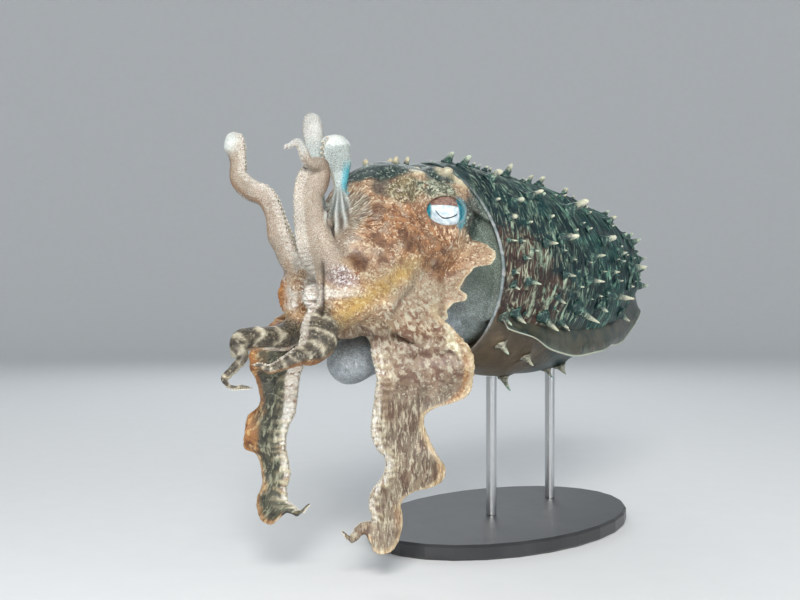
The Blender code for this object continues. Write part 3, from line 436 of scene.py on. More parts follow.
for table in (MANTLE_PAPILLAE, LESSER_PAPILLAE):
    for at, degrees, length, radius in table:
        for side in ((-1,) if degrees == 0 else (-1, 1)):
            place, turn, size = at, degrees * side, 1.0
            if side > 0:
                place += draw.uniform(-0.12, 0.12)
                turn += draw.uniform(-3.0, 3.0)
                size += draw.uniform(-0.14, 0.14)
            papilla_places.append((place, math.radians(turn), length * size, radius * size,
                                   degrees))
draw = random.Random(23)
taken = [mantle_frame(at, angle)[0] for at, angle, *_ in papilla_places]
while RANDOM_PAPILLAE:
    at = draw.uniform(0.35, 12.4)
    degrees = draw.uniform(-112, 112)
    spot = mantle_frame(at, math.radians(degrees))[0]
    if min(np.linalg.norm(spot - other) for other in taken) > 9:
        taken.append(spot)
        size = draw.uniform(0.55, 1.0)
        papilla_places.append((at, math.radians(degrees), 5.5 * size, 2.1 * size, abs(degrees)))
        RANDOM_PAPILLAE -= 1

around = np.linspace(0, 2 * math.pi, MANTLE_SIDES + 1)
lip_in = mantle_surface(np.zeros_like(around), around, -RIM_EDGE)
lip_out = mantle_surface(np.zeros_like(around), around)
deep = mantle_surface(np.zeros_like(around), around, -RIM_THICKNESS)
deep[:, 0] = RIM_SIDE + RIM_DEPTH
deep[:, 1] *= 0.94
deep[:, 2] = (deep[:, 2] - MANTLE_STOPS[0][1]) * 0.94 + MANTLE_STOPS[0][1]
rows = [np.broadcast_to(deep.mean(axis=0), deep.shape)]
rows += [deep + (lip_in - deep) * share for share in np.linspace(0, 1, 7)]
for turn in np.linspace(0, math.pi, 8)[1:-1]:
    rows.append((lip_in + lip_out) / 2 - (lip_out - lip_in) / 2 * math.cos(turn)
                - np.array((2.8, 0, 0)) * math.sin(turn))
inner_rows = len(rows)
track = curve(MANTLE_STOPS, np.linspace(0, 14, 1401))
run = np.concatenate(([0], np.cumsum(np.hypot(*np.diff(track[:, (0, 3)], axis=0).T))))
outer_places = np.interp(np.linspace(0, run[-1], MANTLE_ROWS), run, np.linspace(0, 14, 1401))
for place in outer_places:
    rows.append(mantle_surface(np.full_like(around, place), around))
tail_ring = rows[-1]
for turn in np.linspace(0, math.pi / 2, 6)[1:]:
    rows.append(tail_ring.mean(axis=0) + (tail_ring - tail_ring.mean(axis=0)) * math.cos(turn)
                + np.array((4.0, 0, 0)) * math.sin(turn))
rows = np.array(rows)
normals = normals_of(rows)
at_rows = np.concatenate((np.full(inner_rows, -0.5), outer_places, np.full(5, 14.0)))
is_out = np.clip((at_rows + 0.1) / 0.4, 0, 1)[:, None] * np.ones_like(around)
degrees_round = np.degrees(np.abs((around + math.pi) % (2 * math.pi) - math.pi))[None, :]
back = 1 - rise(degrees_round + rough(rows, 20, 9) * 4, 106, 116)

warp = rough(rows, 34, 1) * 7 + rough(rows, 12, 2) * 1.6
flow = np.stack((rows[..., 0] + warp, rows[..., 1] * 0.16, rows[..., 2] * 0.16), axis=-1)
line = folds(flow, 4.2, 3, 0.26) * (0.25 + 0.75 * rise(rough(rows, 16, 5), -0.45, 0.25))
swell = 1 - np.abs(rough(flow, 9.0, 4))
mound = np.zeros(rows.shape[:2])
streak = np.zeros(rows.shape[:2])
for at, angle, length, radius, degrees in papilla_places:
    window = np.abs(at_rows - at) < 2.4
    gap = rows[window] - mantle_frame(at, angle)[0]
    round_way = gap[..., 1] ** 2 + gap[..., 2] ** 2
    far = np.sqrt(gap[..., 0] ** 2 * 1.6 + round_way * 0.5) / (radius * 1.9)
    mound[window] = np.maximum(mound[window], np.exp(-(far**2)) * min(1.0, radius / 3.6))
    far = np.sqrt(gap[..., 0] ** 2 * 1.6 + round_way * 0.16) / radius
    streak[window] = np.maximum(streak[window], np.exp(-(far**2)) * min(1.0, (radius / 4) ** 1.5))
height = (rough(rows, 26, 6) * 0.9 + line * 1.2 * back + swell**3 * 1.3 * back
          + rough(rows, 5, 7) * 0.25 * back + mound * 2.8 - 1.5)
shown = rows + normals * (height * is_out)[..., None]

front = rise(1 - (rows[..., 0] + 28) / 150, 0, 1) * (0.35 + 0.65 * rise(degrees_round, 40, 85))
lip = np.zeros(rows.shape[:2])
lip[inner_rows - 5:inner_rows] = (0.2 + 0.8 * rise(degrees_round, 38, 62)
                                  - 0.8 * rise(degrees_round, 112, 130))

mantle_finish = Finish("mantle_skin", 0.5, Coat_Weight=0.06, Coat_Roughness=0.3,
                       Specular_IOR_Level=0.35, Subsurface_Weight=0.04,
                       Subsurface_Scale=0.004)
fold_line = mantle_finish.painted("line")
papilla_streak = mantle_finish.painted("streak")
above = mantle_finish.painted("back")
wine_share = mantle_finish.painted("front")
wide = mantle_finish.noise(26, 4, warp=1.2)
mid = mantle_finish.noise(120, 5, warp=1.0)
fine = mantle_finish.noise(650, 4)
swept = mantle_finish.noise(300, 5, mantle_finish.place((1.0, 0.18, 0.18)), 0.5)
web = mantle_finish.cells(330, "DISTANCE_TO_EDGE", mantle_finish.bent(
    mantle_finish.place((1.0, 0.14, 0.14)), 60, 0.004))
hair = (1 - web.step(0.02, 0.12)) * (mid + swept * 0.5).step(0.66, 0.88)
dark = mantle_finish.mix(wide.step(0.42, 0.62), (0.003, 0.014, 0.017), (0.005, 0.034, 0.036))
wine = (wine_share + wide * 0.9 + mid * 0.5 - 0.7).step(0.48, 0.68)
dark = mantle_finish.mix(wine, dark, mantle_finish.mix(
    mid.step(0.4, 0.65), (0.024, 0.014, 0.011), (0.068, 0.034, 0.025)))
green = mantle_finish.mix((swept + papilla_streak * 0.3).step(0.40, 0.78),
                          (0.018, 0.085, 0.064), (0.20, 0.38, 0.28))
cream = mantle_finish.mix(mid.step(0.35, 0.6), (0.24, 0.30, 0.21), (0.50, 0.50, 0.36))
pale = mantle_finish.mix(wine_share * 0.7 + papilla_streak * 0.25, green, cream)
crest = (fold_line * 0.8 + swept * 0.7 + fine * 0.4 - 0.84).step(0.30, 0.62)
skin = mantle_finish.mix(hair * above * 0.85, dark, pale)
skin = mantle_finish.mix(crest * above, skin, pale)
skin = mantle_finish.mix((papilla_streak * 0.8 + swept + hair * 0.3 - 0.58).step(0.40, 0.80) * above * 0.85,
                         skin, pale)
belly = mantle_finish.mix(mid.step(0.35, 0.7), (0.010, 0.034, 0.034), (0.040, 0.062, 0.052))
belly = mantle_finish.mix((wine_share * 0.9 + wide - 0.35).step(0.35, 0.65), belly,
                          mantle_finish.mix(mid, (0.06, 0.045, 0.03), (0.20, 0.15, 0.095)))
skin = mantle_finish.mix(above, belly, skin)
skin = mantle_finish.mix(mantle_finish.painted("rim"), skin, mantle_finish.mix(
    mid.step(0.4, 0.6), (0.17, 0.21, 0.21), (0.36, 0.38, 0.39)))
mantle_finish.give(Base_Color=skin, Roughness=mid * 0.25 + 0.30)
mantle_finish.bump(swept * 0.5 + mid * 0.3 + fine * 0.14 + hair * 0.25, 0.0014, 0.5)

body = bmesh.new()
add_grid(body, shown, line=line * is_out, back=back, front=front, streak=streak * is_out, rim=lip)
finished(body, "mantle_skin", mantle_finish, "mantle", "mantle")


# Papillae on the mantle
# Soft spikes of the same skin, each with a ribbed spread root, a bent shaft and a blunt
# pale tip. Those on the back stand like fingers and those low on the sides hang back.
PAPILLA_RISES = np.array((-0.14, -0.14, 0, 0.05, 0.12, 0.22, 0.36, 0.52, 0.68, 0.82, 0.92,
                          0.98, 1))
PAPILLA_SIDES = 10


def papilla_rows(root, way, level, length, radius, sweep, blunt=0.6, rib=0.0):
    """Rows of points of one papilla from its closed root to its tip."""
    across = np.cross(way, level)
    turns = np.linspace(0, 2 * math.pi, PAPILLA_SIDES + 1)
    made = []
    for number, rise_by in enumerate(PAPILLA_RISES):
        high = max(0.0, rise_by)
        wide = radius * ((blunt + (1 - blunt) * (1 - high) ** 1.2) * 0.90
                         + 0.70 * math.exp(-high / 0.16))
        wide *= math.sqrt(max(0.0, 1 - (max(0.0, high - 0.80) / 0.20) ** 2))
        ribs = 1 + rib * np.cos(5 * turns) * math.exp(-high / 0.2)
        ring = wide * (0 if number == 0 else 1) * ribs
        middle = root + way * length * rise_by + level * sweep * length * high**2
        made.append(middle + np.outer(np.cos(turns) * ring, across)
                    + np.outer(np.sin(turns) * ring, level))
    return np.array(made)


def papilla_axes(out, along, drop):
    """The way a papilla stands and the way its tip leans."""
    way = out + along * 0.35 + np.array((0, 0, drop))
    way /= np.linalg.norm(way)
    level = along - way * (along @ way)
    return way, level / np.linalg.norm(level)


papilla_finish = Finish("papilla_skin", 0.45, Coat_Weight=0.15, Coat_Roughness=0.25,
                        Subsurface_Weight=0.12, Subsurface_Scale=0.004)
tip = papilla_finish.painted("tip")
green_side = papilla_finish.painted("green")
speck = papilla_finish.noise(300, 5, warp=1.0)
papilla_streaks = papilla_finish.noise(420, 4, papilla_finish.place((1, 0.4, 0.4)), 1.5)
stem = papilla_finish.mix((papilla_streaks * 0.7 + speck * 0.4 - 0.08).step(0.44, 0.66),
                          (0.005, 0.028, 0.027), (0.13, 0.25, 0.18))
stem = papilla_finish.mix(papilla_finish.painted("under"), stem, papilla_finish.mix(
    speck.step(0.4, 0.6), (0.11, 0.105, 0.080), (0.42, 0.41, 0.31)))
top = papilla_finish.mix(green_side, (0.60, 0.58, 0.42), (0.25, 0.49, 0.38))
top = papilla_finish.mix(speck.step(0.4, 0.62) * 0.45, top, (0.74, 0.76, 0.62))
papilla_finish.give(
    Base_Color=papilla_finish.mix((tip + papilla_streaks * 0.8 - 0.62).step(0.05, 0.80), stem, top),
    Roughness=speck * 0.2 + 0.34)
papilla_finish.bump(papilla_streaks + speck * 0.5, 0.0007, 0.5)

shapes, greens, unders = [], [], []
draw = random.Random(5)
for at, angle, length, radius, degrees in papilla_places:
    spot, out, along = mantle_frame(at, angle)
    way, level = papilla_axes(out, along, -0.6 if degrees > 90 else 0.0)
    low = degrees > 60
    shape = papilla_rows(spot + out * 0.6, way, level, length, radius,
                         draw.uniform(0.15, 0.35) if not low else draw.uniform(0.3, 0.55),
                         blunt=draw.uniform(0.35, 0.75) if not low else draw.uniform(0.14, 0.30),
                         rib=0.12)
    wobble = 1 + rough(shape, 2.6, 8)[..., None] * 0.25 * min(1.0, radius / 3)
    centre = shape[:, :-1].mean(axis=1, keepdims=True)
    shape = centre + (shape - centre) * wobble
    shape[:, -1] = shape[:, 0]
    shapes.append(shape)
    green = 0.9 if degrees > 150 else draw.choice((0.0, 0.15, 0.4))
    greens.append(max(green, 0.45) if spot[0] > 170 else green)
    unders.append(float(rise(degrees, 106, 120)))
body = bmesh.new()
add_grid(body, np.array(shapes), tip=np.clip(PAPILLA_RISES, 0, 1)[None, :, None],
         green=np.array(greens)[:, None, None], under=np.array(unders)[:, None, None])
finished(body, "mantle_papillae", papilla_finish, "mantle")


# Fins
# One thin muscular sheet along each side, brown-grey and half clear, with a rippled,
# curling pale edge. Each is a closed grid whose root is sunk in the mantle.
FIN_ROOT_ANGLE = math.radians(111)
FIN_START = 0.25
FIN_END = 12.9
FIN_WIDTH = 31.0
FIN_REAR = 0.3
FIN_WAVES = 3.5
FIN_RIPPLE = 9.0
FIN_STATIONS = 400
FIN_ACROSS = 16

fin_finish = Finish("fin_membrane", 0.34, Coat_Weight=0.25, Coat_Roughness=0.2,
                    Subsurface_Weight=0.15, Subsurface_Scale=0.006)
edge = fin_finish.painted("edge")
fin_cloud = fin_finish.noise(55, 5, warp=1.4)
fin_fine = fin_finish.noise(420, 4)
fin_ray = fin_finish.noise(130, 4, fin_finish.place((1.0, 0.25, 0.25)), 0.6)
fin_skin = fin_finish.mix(fin_cloud.step(0.36, 0.66), (0.022, 0.034, 0.030), (0.075, 0.072, 0.050))
fin_skin = fin_finish.mix((fin_ray * edge).step(0.3, 0.6) * 0.5, fin_skin, (0.15, 0.19, 0.155))
fin_skin = fin_finish.mix(edge.step(0.95, 0.99), fin_skin, (0.38, 0.42, 0.33))
fin_finish.give(Base_Color=fin_skin, Roughness=fin_fine * 0.2 + 0.26,
                Alpha=1 - edge.step(0.35, 0.85) * (1 - edge.step(0.92, 0.98)) * 0.30)
fin_finish.bump(fin_ray * 0.6 + fin_fine * 0.15, 0.0008, 0.5)

for side, word in ((-1, "left"), (1, "right")):
    rows = []
    for share in np.linspace(0, 1, FIN_STATIONS):
        root, out, _ = mantle_frame(FIN_START + (FIN_END - FIN_START) * share,
                                    FIN_ROOT_ANGLE * side)
        way = out + np.array((0.25, 0, -0.55))
        way /= np.linalg.norm(way)
        reach = FIN_WIDTH * math.sin(math.pi * (0.05 + 0.93 * share)) ** 0.45
        reach *= 0.86 * (1 - (1 - FIN_REAR) * share)
        phase = 2 * math.pi * FIN_WAVES * share + (0.6 if side < 0 else 2.2)
        bend = 0.3 + 0.9 * math.exp(-(((share - 0.36) / 0.07) ** 2)) + 1.0 * rise(share, 0.65, 0.95)
        ripple = FIN_RIPPLE * reach / FIN_WIDTH
        lift = np.cross(way, (1, 0, 0))
        lift /= np.linalg.norm(lift) * (-1 if lift[2] < 0 else 1)
        upper, lower = [], []
        for out_share in np.linspace(-0.22, 1, FIN_ACROSS):
            span = max(0.0, out_share)
            along_way = math.sin(bend * out_share) / bend
            down = (1 - math.cos(bend * out_share)) / bend
            wave = math.sin(phase) * ripple * span**1.7
            wave += math.sin(phase * 3.1 + 1.3) * 1.1 * span**3 * reach / FIN_WIDTH
            sway = math.cos(phase) * ripple * 0.15 * span**2
            here = (root + way * reach * along_way + lift * (wave - reach * down)
                    + np.array((sway, 0, 0)))
            thick = 4.4 - 3.4 * span**0.8
            upper.append(here + lift * thick / 2)
            lower.append(here - lift * thick / 2)
        tipped = (upper[-1] + lower[-1]) / 2 + way * 0.5
        rows.append(upper + [tipped] + lower[::-1] + [upper[0]])
    rows = np.array(rows)
    ends = [np.broadcast_to(rows[k].mean(axis=0), rows[k].shape)[None] for k in (0, -1)]
    spans = np.clip(np.linspace(-0.22, 1, FIN_ACROSS), 0, 1)
    spans = np.concatenate((spans, [1], spans[::-1], [0]))
    body = bmesh.new()
    add_grid(body, np.concatenate((ends[0], rows, ends[1])), edge=spans[None, None, :])
    finished(body, "fin_" + word + "_membrane", fin_finish, "fin", "fin_" + word)


# Head, neck, funnel and arms
# One seamless skin over the head, the ring of webbed arm roots, the eight arms, the side
# membranes and the funnel. Each form is laid out as a closed shell, then all are fused,
# smoothed where they join, and wrinkled.
HEAD_SECTIONS = (
    (-2.3, 0, -19, 49, 64, 64), (-24, 0, -15, 52, 64, 66), (-50, 0, -4, 47, 54, 61),
    (-78, -1, 3, 53, 55, 56), (-103, -4, -2, 52, 61, 50), (-122, -6, -9, 49, 53, 47),
    (-142, -9, -19, 46, 44, 47), (-160, -10, -31, 42, 41, 43), (-174, -10, -39, 35, 31, 35),
    (-180, -10, -42, 24, 21, 24),
)
HEAD_WAYS = ((-1, 0, 0), (-1, 0, 0), (-1, 0, 0), (-0.97, -0.03, -0.14), (-0.94, -0.06, -0.28),
             (-0.90, -0.10, -0.42), (-0.91, -0.10, -0.40), (-0.92, -0.10, -0.38),
             (-0.93, -0.10, -0.36), (-0.93, -0.10, -0.35))
CHEEK_POINTS = ((-128, 46, 2), (-155, 46, -16), (-172, 44, -36), (-172, 43, -52),
                (-150, 43, -68), (-126, 54, -78), (-112, 59, -66), (-98, 54, -42),
                (-92, 49, -18), (-106, 47, 4), (-130, 10, -30), (-100, 10, -20))
EYE_RADIUS = 17.0
EYE_CENTRE = (-81, 36, 19)
EYE_LOOK = (-0.5, 0.85, 0.12)
ORBIT_RADII = (27, 25, 15)
HEAD_PAPILLAE = (
    ((-106, 32, 37), (0.0, 0.15, 1.0), 12.5, 8.0), ((-70, 31, 43), (0.1, 0.3, 0.95), 13.5, 5.2),
    ((-61, 36, 38), (0.25, 0.35, 0.9), 10.5, 4.7), ((-114, 30, 38), (-0.3, 0.5, 0.8), 6, 3.0),
    ((-86, 8, 55), (0.1, 0.1, 1), 10, 3.0), ((-106, 14, 53), (-0.2, 0.1, 1), 9, 3.4),
    ((-118, 4, 46), (-0.2, 0.1, 1), 7, 2.6), ((-92, 22, 50), (0.1, 0.3, 1), 5, 2.4),
)
FUNNEL = (
    (-20, 0, -58, 25), (-55, 0, -64, 25), (-92, 1, -74, 21), (-120, 2, -83, 18),
    (-139, 3, -90, 17), (-149, 3, -93, 13), (-155, 3, -95, 5),
)
FLAP_ROOT = ((-60, 44, 12), (-69, 47, -2), (-82, 47, -18), (-96, 45, -35), (-111, 38, -52),
             (-124, 31, -64), (-137, 27, -75))
FLAP_REACH = ((0, 1), (0.06, 2), (0.12, 7), (0.16, 20), (0.21, 29), (0.26, 31), (0.31, 28),
              (0.35, 19), (0.44, 16), (0.49, 17), (0.53, 25), (0.57, 27), (0.60, 20),
              (0.64, 21), (0.73, 26), (0.82, 36), (0.90, 44), (1, 52))
FLAP_WAY = (0.40, 0.90, -0.12)
# The stops placed to a tenth of a mm were made by a scratch program, from pixels of the photo
# read by eye, and for arms IV also from sizes printed from the solids. The whole ones began
# the same way, were rounded, and were then changed one by one.
ARMS = {
    "arm_1_left": {
        "route": (
            (-126, -14, 16, 12, 11), (-143, -13, 9, 11, 10), (-157, -12, 3, 9, 9),
            (-164, -10, 8, 7.5, 8), (-161.8, -6.4, 19, 5.4, 5.7), (-155.5, -2.7, 32.3, 4.2, 4.6),
            (-152.2, 0.2, 44.9, 6.4, 6.1), (-153.7, 0.2, 53.5, 9.2, 7.6),
            (-156.2, 0.1, 60.9, 10.8, 8.2), (-158.2, -0.6, 66.6, 9.6, 7.5),
            (-159.5, -2.2, 69.9, 5.9, 4.7), (-160.1, -3, 71.8, 0.7, 0.7),
        ),
        "aboral": (0.75, -0.6, 0.25),
    },
    "arm_1_right": {
        "route": (
            (-126, 2, 16, 12, 11), (-143, 5, 9, 11, 10), (-157, 8, 3, 9, 8.5),
            (-164, 11, 8, 8, 7.5), (-162.9, 14.9, 22, 7.3, 7.3), (-159, 19, 45, 7.2, 6.8),
            (-155.7, 21.2, 65, 6.9, 6.4), (-155, 23, 76.4, 7.5, 6.7),
            (-154.5, 24.7, 84.5, 6.5, 5.8), (-153.8, 25.5, 89.4, 4.3, 3.8),
            (-153.4, 25.8, 91.8, 0.6, 0.6),
        ),
        "aboral": (0.616, -0.788, 0.1),
    },
    "arm_2_left": {
        "route": (
            (-126, -31, 3, 13, 12), (-150, -33, -12, 14, 12), (-175, -31, -26, 14, 11),
            (-192, -27, -24, 13.5, 10.5), (-199.7, -21.2, -7.8, 12.5, 10),
            (-200, -15.7, 9.8, 10.9, 8.5), (-199.6, -12.5, 23.4, 9.3, 7.3),
            (-196.5, -13.3, 33.5, 10.8, 8.1), (-193.4, -15.5, 41.4, 9.3, 7.3),
            (-196.2, -18.6, 46, 6.4, 5.4), (-204, -19.9, 44.8, 4.1, 3.7),
            (-208.3, -19.2, 48.8, 3.4, 3.1), (-211.1, -18.9, 54.6, 3.2, 3),
            (-213.6, -17.4, 59, 2.9, 2.7), (-216.5, -15.3, 58.6, 2.3, 2.2),
            (-218.6, -13.4, 56.6, 1.7, 1.6), (-220.4, -11.9, 56.9, 1.2, 1.2),
            (-220.9, -11.3, 55.2, 0.8, 0.8), (-220.5, -11.8, 53.4, 0.5, 0.5),
        ),
        "aboral": (0.6, -0.75, -0.1),
    },
    "arm_2_right": {
        "route": (
            (-126, 17, 3, 13, 12), (-148, 15, -12, 12, 11), (-168, 13, -26, 11, 10),
            (-182, 15, -20, 9, 9.5), (-192.6, 19.8, -1.4, 8, 8.8), (-197.3, 21.5, 15, 6.7, 7.1),
            (-200.2, 26.5, 26.5, 6.9, 6.9), (-205.4, 35.5, 31.5, 6.6, 6.6),
            (-208.5, 45.4, 40.2, 6.1, 6.1), (-206.4, 47.3, 49.7, 5.6, 5.6),
            (-205, 50.5, 57.7, 6.1, 6.1), (-203.6, 54.3, 64.5, 7.6, 7.2),
            (-202.2, 57.4, 69.3, 6.1, 5.8), (-201.2, 59.3, 72.3, 3.5, 3.3),
            (-200.6, 60.3, 73.8, 0.5, 0.5),
        ),
        "aboral": (-0.62, 0.78, 0),
    },
    "arm_3_left": {
        "route": (
            (-126, -32, -20, 13, 12), (-150, -35, -34, 13, 12), (-170, -35, -46, 13, 12),
            (-187.4, -29.8, -53, 11.4, 10.7), (-201.1, -26.9, -61.5, 11.5, 10.8),
            (-209.4, -30.9, -71.8, 11.8, 11.1), (-218.4, -33, -78.9, 8.5, 8),
            (-228.1, -31.2, -81.4, 5.9, 5.6), (-236, -28, -85, 4.4, 4.2),
            (-244, -22, -89, 3, 3), (-248, -18, -87, 2, 2), (-253, -13, -86, 0.8, 0.8),
        ),
        "aboral": (0, -0.75, -0.66),
    },
    "arm_3_right": {
        "route": (
            (-126, 17, -20, 13, 12), (-146, 17, -36, 12, 11), (-163, 15, -52, 11, 10),
            (-180, 13, -62, 9, 9), (-201, 9, -70, 8, 8), (-221, 9, -70, 7.5, 7),
            (-236, 11, -71, 7, 6.5), (-244, 9, -76, 6, 5.5), (-244, 3, -82, 4, 4),
            (-249, 6, -89, 3, 3), (-254, 10, -96, 2.6, 2.3), (-251, 7, -101, 2.0, 1.8),
            (-246, 1, -101, 1.5, 1.5), (-241, -3, -102, 0.8, 0.8),
        ),
        "aboral": (-0.35, -0.4, 0.85),
    },
    "arm_4_left": {
        "route": (
            (-122, -19, -36, 13, 11, 6), (-135, -20, -52, 13, 10, 19),
            (-140.3, -30.8, -76, 10.6, 7.7, 46), (-140.4, -31.9, -81.6, 10, 7.4, 48.9),
            (-140.8, -32.8, -87.2, 9.4, 7.1, 50.4), (-140.8, -34.4, -94.2, 8.7, 6.6, 50.2),
            (-140.6, -34.9, -101.2, 8.4, 6.4, 49.6), (-141.2, -33.9, -108.2, 8.2, 6.2, 49.5),
            (-141.5, -33.3, -113.9, 8, 6, 46.2), (-141.8, -32.8, -117.8, 8, 6, 38.3),
            (-142, -32.4, -120.6, 8, 6, 28.2), (-142.3, -31.9, -124.9, 8, 6, 21.4),
            (-142.5, -31.4, -129.4, 8, 6, 20.5), (-142.9, -30.9, -136.4, 7.9, 5.8, 22.3),
            (-142.2, -31.8, -143.4, 7.7, 5.7, 24.2), (-140.2, -34.6, -150.5, 7.5, 5.5, 24.5),
            (-137.6, -38.2, -155.4, 7.3, 5.3, 23.3), (-137.4, -38.7, -160.2, 7.2, 5.1, 26.1),
            (-138.3, -37.9, -165.8, 7, 4.9, 28.9), (-140.2, -35.6, -171.4, 6.8, 4.8, 30.2),
            (-142.2, -33.1, -175.4, 6.7, 4.7, 29.9), (-143.4, -31.7, -177.7, 6.6, 4.6, 26.8),
            (-144.2, -30.8, -179.8, 6.6, 4.6, 18.5), (-145, -29.8, -182.6, 6.5, 4.5, 13.6),
            (-145.5, -29.1, -186.2, 6.3, 4.3, 11), (-145.5, -29.2, -191.1, 6.1, 4.1, 9.5),
            (-144.5, -30.7, -195, 6.5, 4.7, 8.7), (-144.8, -31, -200.1, 5.8, 4.1, 10.5),
            (-147.9, -29.1, -203.3, 4.9, 3.5, 15.7), (-152.1, -26.2, -203.3, 3.9, 2.8, 9.2),
            (-155.9, -23.8, -203.8, 3.6, 2.6, 2.2), (-158.6, -21.9, -206.2, 3.3, 2.4, 0.8),
            (-161.2, -21, -209.6, 2.9, 2.1, 0.4), (-163.9, -20, -211.4, 2.4, 1.7, 0.1),
            (-166.3, -19.4, -209.1, 1.7, 1.2, 0), (-168.8, -18.6, -206.1, 1.1, 0.9, 0),
            (-170.6, -18, -204.1, 0.6, 0.6, 0),
        ),
        "aboral": (0.616, -0.788, 0),
        "level": (2.0, 25.0),
    },
    "arm_4_right": {
        "route": (
            (-122, 4, -36, 13, 11, 6), (-136, 7, -52, 12, 10, 12), (-153, 14, -70, 10, 8, 20),
            (-171, 25.9, -82.2, 8.9, 6.9, 23.1), (-174, 25.4, -87.8, 8.4, 6.4, 22.6),
            (-176.1, 25.5, -93.4, 8.3, 6.3, 21.3), (-178, 25.9, -97.6, 8.2, 6.2, 17.6),
            (-179.4, 25.5, -102.4, 8, 6.1, 14.2), (-180.3, 25.2, -108.7, 7.8, 5.9, 12.2),
            (-181.1, 25, -115.7, 7.4, 5.7, 11.2), (-181.7, 25, -119.9, 7.2, 5.6, 12.2),
            (-182.2, 25.1, -123, 7, 5.5, 15.4), (-182.5, 25.4, -126.2, 6.9, 5.4, 19.1),
            (-184.5, 28.1, -132.6, 6.8, 5.3, 17.3), (-185.4, 29.4, -138.3, 6.6, 5.1, 16.5),
            (-185.8, 30.1, -143.9, 6.5, 5, 16.6), (-185.7, 30.1, -148.9, 6.5, 5, 17),
            (-185.6, 29.8, -151.9, 6.5, 5, 14.7), (-185.3, 29.5, -154.1, 6.5, 5, 9.5),
            (-184.8, 29, -158.1, 6.5, 5, 8), (-184.4, 28.1, -162.3, 6.4, 4.9, 8),
            (-184, 26.9, -166.5, 6.3, 4.8, 8.4), (-184.9, 27.2, -172, 6.1, 4.6, 7),
            (-186.5, 28, -177.5, 5.9, 4.4, 6.4), (-186.9, 26.7, -181.6, 5.5, 4.3, 9.3),
            (-187.2, 26.9, -185.8, 6.6, 5, 9.3), (-187.2, 24.4, -188.6, 5.3, 4, 11.8),
            (-186.2, 20.7, -189.7, 3.8, 2.8, 8.7), (-185.4, 17.2, -190.5, 3.2, 2.4, 2.8),
            (-184.8, 14, -192.4, 2.8, 2.1, 0.8), (-184.1, 11.5, -193.8, 2.5, 1.9, 0.4),
            (-183.4, 8.9, -192.7, 1.9, 1.5, 0.1), (-182.6, 6.4, -190, 1.3, 0.9, 0),
            (-182.2, 4.2, -187.7, 0.8, 0.7, 0), (-181.6, 1.8, -186.3, 0.6, 0.6, 0),
        ),
        "aboral": (-0.616, 0.788, 0),
        "level": (3.0, 24.0),
    },
}
WEBS = (
    ("arm_1_left", "arm_1_right", 0, ((1.2, 1.2), (2.2, 2.2))),
    ("arm_1_left", "arm_2_left", 0, ((1.2, 1.2), (2.3, 2.6))),
    ("arm_1_right", "arm_2_right", 0, ((1.2, 1.2), (2.3, 2.4))),
    ("arm_2_left", "arm_3_left", -7, ((1.3, 1.3), (2.3, 2.3), (3.1, 3.0), (3.9, 3.9))),
    ("arm_2_right", "arm_3_right", 14, ((1.3, 1.3), (2.3, 2.3), (3.2, 3.4))),
    ("arm_3_left", "arm_4_left", 0, ((1.0, 0.9), (1.9, 1.5), (2.5, 2.0))),
    ("arm_3_right", "arm_4_right", 0, ((1.0, 1.0), (2.2, 2.0))),
    ("arm_2_left", "arm_4_left", -18, ((0.9, 0.7), (1.8, 1.3), (2.7, 2.0))),
    ("arm_2_left", "arm_2_right", 0, ((2.5, 2.5), (3.4, 3.4))),
)
NAPE_POINTS = ((-94, -22, 50), (-94, 12, 54), (-66, -32, 46), (-66, -17, 55), (-66, 8, 54),
               (-50, -36, 38), (-50, 20, 46), (-80, -33, 43), (-80, 20, 50), (-80, -4, 57))
FAN_FEET = ((-164.8, -9.3, 1.7), (-161.3, -13.9, -4.9), (-152.5, -16.7, -4.3),
            (-143.5, -17.0, 1.4))
BACK_STEPS = 8
ROOT_START = 0.7
STATIONS = 7                    # rows of points for each stop of an arm
KEEL_THICK = 3.6
KEEL_EDGE = 2.0
SKIN_VOXEL = 0.00092
SKIN_TRIANGLES = 196000
SMOOTH_ROUNDS = 30


def unit(values):
    values = np.asarray(values, float)
    return values / np.linalg.norm(values)


def table_value(table, at):
    """The value at a place in a table of (place, value), with a smooth change between."""
    for (start, low), (end, high) in zip(table, table[1:]):
        if start <= at <= end:
            return low + (high - low) * float(rise(at, start, end))
    return 0.0


def arm_tangent(arm, at):
    """The way an arm's sections face: along its route, or straight down where it is level."""
    last = len(arm["route"]) - 1
    ahead, behind = curve(arm["route"], [min(at + 0.08, last), max(at - 0.08, 0)])[:, :3]
    tangent = unit(ahead - behind)
    if "level" in arm:
        start, end = arm["level"]
        hold = max(0.0, min(1.0, at - start + 1, end + 1 - at))
        tangent = unit(tangent * (1 - hold) + np.array((0, 0, -1)) * hold)
    return tangent


def back_ways(arm):
    """The way of the arm's back all along it, turned with its bends and drawn to aboral."""
    wanted = unit(arm["aboral"])
    way = wanted
    ways = []
    for step in range((len(arm["route"]) - 1) * BACK_STEPS + 1):
        tangent = arm_tangent(arm, step / BACK_STEPS)
        way = unit(way - tangent * (way @ tangent))
        target = wanted - tangent * (wanted @ tangent)
        if np.linalg.norm(target) > 0.4 and target @ way > 0:
            way = unit(way + target * 0.3)
        ways.append(way)
    return ways


def arm_frame(arm, at):
    """Centre, aboral way, side way, tangent, half depth and half width on an arm."""
    x, y, z, depth, width = curve(arm["route"], at)[0, :5]
    tangent = arm_tangent(arm, at)
    if "back" not in arm:
        arm["back"] = back_ways(arm)
    start = min(int(at * BACK_STEPS), len(arm["back"]) - 2)
    part = at * BACK_STEPS - start
    aboral = arm["back"][start] * (1 - part) + arm["back"][start + 1] * part
    aboral = unit(aboral - tangent * (aboral @ tangent))
    side = unit(np.cross(tangent, aboral))
    return np.array((x, y, z)), aboral, side, tangent, max(depth, 0.9), max(width, 0.9)


